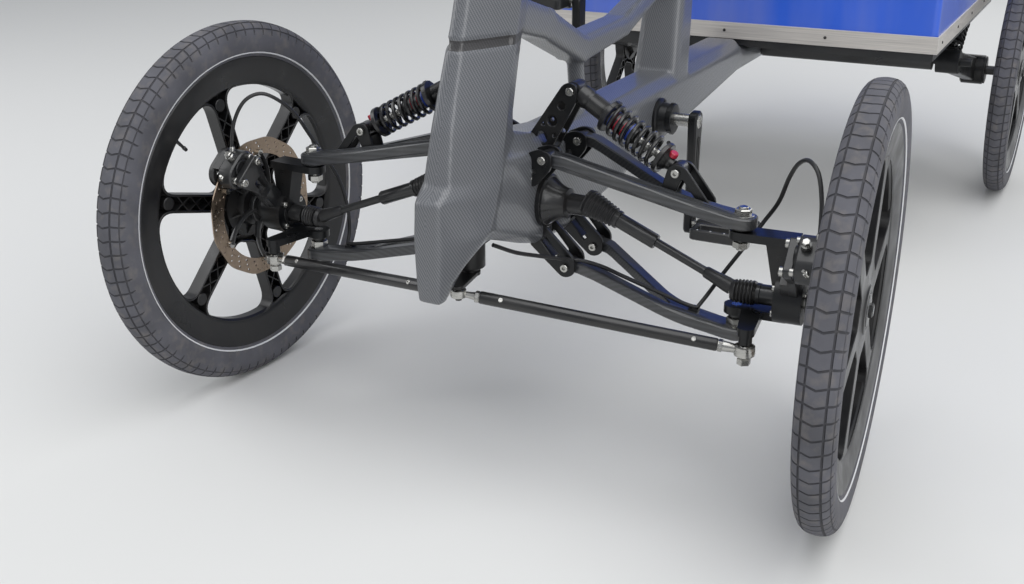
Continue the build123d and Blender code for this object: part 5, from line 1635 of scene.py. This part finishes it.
class CYCLE_OT_saddle(Undoable, Operator):
    """Stuffed cushion and back pad with sewn channels, and the back pad's bars"""
    bl_idname = "cycle.saddle"
    bl_label = "Saddle"

    def execute(self, context):
        sizes = ready(context)
        cushion = pad_from("saddle_cushion", "seat_cushion", cover_inset)
        # the top falls to its sides, nose and middle line
        for vertex in cushion.data.vertices:
            here = vertex.co
            if here.z > seat_z + 0.035:
                share = (here.z - seat_z - 0.035) / 0.035
                rise = 1 - min(1.0, (here.x / 0.165) ** 2)
                nose = max(0.0, (seat_y - 0.12 - here.y) / 0.07)
                back = max(0.0, (here.y - seat_y - 0.02) / 0.09)
                vertex.co.z -= share * 0.016 * (1 - rise) + share * 0.008 * nose
                vertex.co.z -= share * 0.004 * bump(here.x, 0.022) * (1 - back)
        stuff(cushion, sizes.pad_travel)
        up = Vector((0, 0, 1))
        press_seam(cushion, lambda p: abs(abs(p.x) - 0.052 - 0.25 * max(0.0, p.y - seat_y + 0.06)),
                   0.0045, up)
        press_seam(cushion, lambda p: abs(p.y - seat_y - 0.045) if abs(p.x) < 0.075 else 1.0, 0.004, up)
        hand_over(cushion, "chassis", "seat_cover", "seat_cushion")

        back = pad_from("saddle_back_pad", "seat_back", 0.0)
        # only the pad is stuffed: its bars are made anew
        shell = bmesh.new()
        shell.from_mesh(back.data)
        bmesh.ops.delete(shell, geom=[v for v in shell.verts if v.co.z < seat_z + 0.118], context="VERTS")
        bmesh.ops.holes_fill(shell, edges=[e for e in shell.edges if e.is_boundary], sides=0)
        bmesh.ops.triangulate(shell, faces=[f for f in shell.faces if len(f.verts) > 4])
        shell.to_mesh(back.data)
        shell.free()
        skin_over(back, pad_voxel)
        settle(back)
        shrink(back, cover_inset)
        stuff(back, sizes.pad_travel)
        lean = Vector((0, -1, 0.14)).normalized()
        press_seam(back, lambda p: abs(abs(p.x) - 0.085), 0.0045, lean)
        press_seam(back, lambda p: abs(p.z - seat_z - 0.215) if abs(p.x) < 0.085 else 1.0, 0.004, lean)
        hand_over(back, "chassis", "seat_cover", "seat_back")
        bars = Shape()
        half_wide, half_thick = 0.0115, 0.0032
        for across in (-0.06, 0.06):
            path = smooth_path([(across, seat_y + behind, seat_z + above) for behind, above in (
                (0.045, -0.0055), (0.12, -0.0055), (0.143, 0.004), (0.158, 0.055), (0.179, 0.16))])
            points, faces = [], []
            for k, point in enumerate(path):
                ahead = (path[min(k + 1, len(path) - 1)] - path[max(k - 1, 0)]).normalized()
                out = Vector((0, -ahead.z, ahead.y)) * half_thick
                for x, face in ((-1, -1), (1, -1), (1, 1), (-1, 1)):
                    points.append(point + Vector((x * half_wide, 0, 0)) + out * face)
            for k in range(len(path) - 1):
                for j in range(4):
                    a, b = k * 4 + j, k * 4 + (j + 1) % 4
                    faces.append((a, b, b + 4, a + 4))
            faces += [(3, 2, 1, 0), tuple(len(points) - 4 + j for j in range(4))]
            bars.add(points, [tuple(reversed(f)) for f in faces])
        bars.deliver("back_bars", ["anodised"], "chassis", "black_metal", bevel=0.0009, angle=30)
        return {"FINISHED"}


# Cargo box
def box_mm(node):
    """Corners of a node's box in millimetres."""
    return (Vector(corner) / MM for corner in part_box(node))


class CYCLE_OT_box(Undoable, Operator):
    """Blue cargo box with its aluminium trim, screws, floor tray and rear door"""
    bl_idname = "cycle.box"
    bl_label = "Cargo box"

    def execute(self, context):
        sizes = ready(context)
        for name, node, finish, edge, body, slot in (
                ("box_shell", "cargo_box", "panel", 0.0016, "chassis", "blue_panel"),
                ("box_foot_trim", "box_trim", "aluminium", 0.0007, "chassis", "silver_metal"),
                ("box_floor_tray", "box_base", "plastic", 0.0016, "chassis", "black_plastic"),
                ("box_door_leaf", "box_door", "panel", 0.0014, "box_door", "blue_panel")):
            hand_over(dressed(name, node, finish, edge), body, slot, node)

        # the box's walls, without the hinges that stand out at one corner
        box_low, box_high = box_mm("cargo_box")
        door_low, _ = box_mm("box_door")
        low, high = box_mm("box_trim")
        front, rear, wide, top = box_low.y, door_low.y - 3, -box_low.x, box_high.z - 48
        # edging of the door's opening, and a capping strip round the box's top
        edging = Shape()
        for side in (1, -1):
            edging.block((1.6, 26, 634), shift(side * (wide + 0.8), rear - 14.2, 755))
            edging.block((2, rear - front - 30, 18), shift(side * (wide + 1), (front + rear) / 2, top))
        edging.block((2 * wide - 30, 2, 18), shift(0, front - 1, top))
        edging.deliver("box_edging", ["aluminium"], "chassis", "silver_metal", bevel=0.0005, angle=30)

        heads = []

        def fix(x, y, z, facing):
            heads.append((Vector((x, y, z)) * MM, facing))

        height = (low.z + high.z) / 2
        spacing = sizes.screw_spacing / MM
        count = int((high.x - 30) // spacing)
        for k in range(-count, count + 1):
            fix(k * spacing, low.y - 0.2, height, (0, -1, 0))
            fix(k * spacing, front - 2.1, top, (0, -1, 0))
        for side in (1, -1):
            for k in range(int((high.y - low.y - 60) // spacing) + 1):
                along = low.y + 45 + k * spacing
                fix(side * (high.x + 0.2), along, height, (side, 0, 0))
                fix(side * (wide + 2.1), along, top, (side, 0, 0))
            for k in range(6):
                fix(side * (wide + 1.7), rear - 14, 466 + k * 110, (side, 0, 0))
        screws("box_screws", dome_head, heads, 0.72, "chassis", "screw")

        # door furniture: handle plate with its grip, lock, hinge leaves and raised frame
        door = Shape()
        leaf, hinges = rear + 21, (560, 760, 960)
        grip = shift(-300, leaf, 760) @ X_BACK
        side_plate(door, grip @ shift(0.8), 2.4, oblong(21, 66, 8))
        side_plate(door, grip @ shift(5.6), 13.2, oblong(13, 56, 2.6), (), 1, 0.0009)
        door.lathe([(0, 8.5), (1.8, 8.5), (2.4, 7.5), (2.4, 3), (1.2, 2.2)], grip @ shift(-0.2, -38), 28, 1)
        for level in hinges:
            door.block((64, 3.8, 40), shift(349, leaf + 0.4, level), 1)
        for level in (470, 1020):
            door.block((560, 2.2, 12), shift(-10, leaf + 0.8, level), 2)
        for across in (-288, 268):
            door.block((12, 2.2, 550), shift(across, leaf + 0.8, 745), 2)
        door.deliver("door_furniture", ["plastic", "aluminium", "panel"], "box_door", "silver_metal",
                     bevel=0.0004, angle=30)
        heads.clear()
        for level in hinges:
            for across in (330, 356):
                for up in (-13, 13):
                    fix(across, leaf + 2.3, level + up, (0, 1, 0))
        for up in (-60.5, 60.5):
            fix(-300, leaf + 2, 760 + up, (0, 1, 0))
        screws("door_screws", dome_head, heads, 0.72, "box_door")
        return {"FINISHED"}


class CYCLE_OT_rear_axle(Undoable, Operator):
    """Trailing arms with their hub carriers, and the rear coil shocks"""
    bl_idname = "cycle.rear_axle"
    bl_label = "Rear suspension"

    def execute(self, context):
        sizes = ready(context)
        across, behind = rear_track / MM - 105, rear_y / MM
        for side, hand in sides:
            arm = dressed(f"trailing_arm_{hand}", f"rear_arm_{hand}", "anodised", 0.0022)
            hand_over(arm, "chassis", "black_metal", f"rear_arm_{hand}")
            made = Shape()
            hub = shift(across + 18, behind, sizes.tyre_radius / MM)
            made.lathe([(21.5, 29), (22.5, 30), (26.2, 30), (27, 28.5), (27, 11.5)], hub, 48)
            inner = hub @ X_TURNED
            made.lathe([(21.5, 24), (25, 23.5), (26.2, 21.5), (26.2, 18)], inner, 48)
            made.lathe([(25.8, 13.5), (33, 13.5), (34, 12)], inner, 6, 1)
            for k in range(5):
                seat = inner @ shift(21.2, *polar(27.2, k * 2 * pi / 5 + 0.3))
                made.lathe([(0, 3.6), (2.8, 3.6), (3.4, 2.8), (3.4, 1.6), (2, 1.6)], seat, 16, 1)
            made.deliver(f"rear_hub_flange_{hand}", ["anodised", "steel"], "chassis", "black_metal",
                         mirrored=side < 0, angle=30)
            # shock: damper, coil, seats and its side bolts
            foot = Vector((across - 24, behind - 110, 290)) * MM
            top = Vector((across - 24, behind + 30, 378)) * MM
            strut = Shape()
            place = aim(top, foot)
            end = (foot - top).length / MM
            strut.lathe([(10, 10), (11, 15), (20, 15.5), (21.5, 14), (90, 14), (91.5, 12), (92.5, 6.5)],
                        place, 36)
            strut.lathe([(85, 6), (end - 10, 6)], place, 24, 1)
            for at in (30, end - 34):
                strut.lathe([(at, 14.5), (at, 20.6), (at + 0.8, 21.6), (at + 4.8, 21.6), (at + 5.6, 20.6),
                             (at + 5.6, 14.5)], place, ring=True)
            strut.lathe([(end - 29, 17), (end - 24, 11), (end - 11, 9)], place, 32)
            strut.tube(wound(place, 37.5, end - 74, 18.3, 6.5), 0.0026, 10, 2)
            for centre in (top, foot):
                eye = Matrix.Translation(centre)
                strut.lathe([(-13, 11.2), (-12.2, 12.8), (12.2, 12.8), (13, 11.2)], eye, 36)
                strut.lathe([(-15, 6.4), (-14.2, 7.4), (14.2, 7.4), (15, 6.4)], eye, 24, 1)
            strut.lathe([(-22.5, 6.4), (22.5, 6.4)], eye, 24, 1)
            strut.deliver(f"rear_shock_unit_{hand}", ["gloss", "steel", "spring"], "chassis", "black_metal",
                          f"shock_rear_{hand}", mirrored=side < 0, angle=30)
        return {"FINISHED"}


class CYCLE_OT_lamps(Undoable, Operator):
    """Head lamp on the column and two tail lamps under the box"""
    bl_idname = "cycle.lamps"
    bl_label = "Lamps"

    def execute(self, context):
        ready(context)
        low, high = box_mm("head_lamp")
        made = Shape()
        # a frame that looks forward from the lamp's front
        face = shift(0, low.y, (low.z + high.z) / 2) @ swing(-pi / 2, "Z")
        half, tall, deep = (high.x - low.x) / 2, (high.z - low.z) / 2, high.y - low.y
        side_plate(made, face @ shift(-deep / 2 - 1.5), deep - 3.5, oblong(half, tall, 12), bevel=0.003)
        side_plate(made, face @ shift(-2), 3.4, oblong(half * 0.93, tall * 0.93, 11),
                   [oblong(half * 0.8, tall * 0.78, 9)], 0, 0.0008)
        side_plate(made, face @ shift(-3.2), 2.4, oblong(half * 0.81, tall * 0.8, 9), (), 1, 0.0009)
        for k in range(4):
            made.block((2, half * 1.3, 2.2), face @ shift(-12 - k * 6.5, 0, tall - 0.6))
        made.deliver("front_lamp", ["plastic", "clear"], "chassis", "lamp_glass", "head_lamp", angle=30)

        low, high = box_mm("tail_lamps")
        tails = Shape()
        tall, deep = (high.z - low.z) / 2, high.y - low.y
        for side in (1, -1):
            place = shift(side * 300, (low.y + high.y) / 2, (low.z + high.z) / 2) @ X_BACK
            side_plate(tails, place @ shift(-4), deep - 9, oblong(48, tall, 8), bevel=0.002)
            for across, width, label in ((-14, 29, 1), (32, 11, 2)):
                lens = place @ shift(deep / 2 - 5.2, across)
                side_plate(tails, lens, 8, oblong(width, tall - 4, 5), (), label, 0.0022)
            for across in (-44.5, 45):
                tails.lathe([(0, 2.6), (1.2, 2.4), (1.8, 1.2)], place @ shift(deep / 2 - 8.8, across), 12, 3)
        tails.deliver("rear_lamps", ["plastic", "ruby", "clear", "steel"], "chassis", "lamp_glass",
                      "tail_lamps", angle=30)
        return {"FINISHED"}


class CYCLE_OT_stage(Undoable, Operator):
    """Pale floor, soft lights and the camera at the photograph's angle"""
    bl_idname = "cycle.stage"
    bl_label = "Stage"

    def execute(self, context):
        ready(context)
        floor = Shape()
        floor.add([(-14, -14, 0), (14, -14, 0), (14, 14, 0), (-14, 14, 0)], [(0, 1, 2, 3)])
        ground = floor.piece("studio_floor", ["floor"])

        def lamp(name, place, aim_at, size, power):
            light = bpy.data.lights.new(name, "AREA")
            light.shape = "RECTANGLE"
            light.size, light.size_y = size
            light.energy = power
            holder = bpy.data.objects.new(name, light)
            holder.location = place
            holder.rotation_euler = (Vector(aim_at) - Vector(place)).to_track_quat("-Z", "Y").to_euler()
            context.scene.collection.objects.link(holder)

        # name, place, what it looks at, size and watts
        lamp("sky_panel", (1.2, -1.4, 4.2), (0, -0.3, 0.3), (4.5, 4.5), 134)
        lamp("left_panel", (3.6, -2.6, 1.9), (0, -0.4, 0.4), (2.4, 2.4), 50)
        lamp("right_panel", (-3.4, -1.8, 2.1), (0, -0.3, 0.4), (2.4, 2.4), 37)
        lamp("rear_panel", (0.6, 4.0, 2.4), (0, 0.5, 0.6), (2.6, 2.0), 31)

        world = bpy.data.worlds.new("studio")
        context.scene.world = world
        world.use_nodes = True
        nodes, links = world.node_tree.nodes, world.node_tree.links
        nodes.clear()
        out = nodes.new("ShaderNodeOutputWorld")
        soft = nodes.new("ShaderNodeBackground")
        soft.inputs["Color"].default_value = (0.80, 0.83, 0.88, 1)
        soft.inputs["Strength"].default_value = 0.55
        links.new(soft.outputs[0], out.inputs["Surface"])
        context.scene.view_settings.view_transform = "Standard"

        view = bpy.data.cameras.new("photo_view")
        # fitted to the photograph, the focal length in its pixels
        focal, picture_width, sensor = 1176.1268, 1024, 36
        view.sensor_width = sensor
        view.lens = focal * sensor / picture_width
        view.clip_start = 0.05
        holder = bpy.data.objects.new("photo_view", view)
        right = Vector((0.88774053, 0.46033651, -0.00265614))
        up = Vector((-0.1696687, 0.33255211, 0.92769695))
        back = Vector((0.42793608, -0.82310351, 0.37332468))
        turn = Matrix((right, up, back)).transposed().to_4x4()
        holder.matrix_world = Matrix.Translation((0.66960, -1.29131 + front_y, 0.78718)) @ turn
        context.scene.collection.objects.link(holder)
        context.scene.camera = holder
        return {"FINISHED"}


class CYCLE_PT_builder(Panel):
    """Lists the cycle's pieces and their sizes and colours"""
    bl_idname = "CYCLE_PT_builder"
    bl_label = "Cargo cycle"
    bl_space_type = "VIEW_3D"
    bl_region_type = "UI"
    bl_category = "Cargo cycle"

    def draw(self, context):
        column = self.layout.column(align=True)
        for piece in pieces:
            column.operator(piece.bl_idname)
        for values in (context.scene.cycle_sizes, context.scene.cycle_colours):
            column = self.layout.column()
            for entry in values.__annotations__:
                column.prop(values, entry)


groups = (CycleSizes, CycleColours)
pieces = (
    CYCLE_OT_carbon,
    CYCLE_OT_tyres,
    CYCLE_OT_rims,
    CYCLE_OT_front_arms,
    CYCLE_OT_front_shocks,
    CYCLE_OT_drive,
    CYCLE_OT_knuckles,
    CYCLE_OT_steering,
    CYCLE_OT_hoses,
    CYCLE_OT_cockpit,
    CYCLE_OT_pedals,
    CYCLE_OT_saddle,
    CYCLE_OT_box,
    CYCLE_OT_rear_axle,
    CYCLE_OT_lamps,
    CYCLE_OT_stage,
)


def register():
    for entry in groups + pieces + (CYCLE_PT_builder,):
        bpy.utils.register_class(entry)
    bpy.types.Scene.cycle_sizes = PointerProperty(type=CycleSizes)
    bpy.types.Scene.cycle_colours = PointerProperty(type=CycleColours)


def unregister():
    del bpy.types.Scene.cycle_colours
    del bpy.types.Scene.cycle_sizes
    for entry in reversed(groups + pieces + (CYCLE_PT_builder,)):
        bpy.utils.unregister_class(entry)


def main():
    register()
    for piece in pieces:
        group, name = piece.bl_idname.split(".")
        getattr(getattr(bpy.ops, group), name)()


if __name__ == "__main__":
    main()
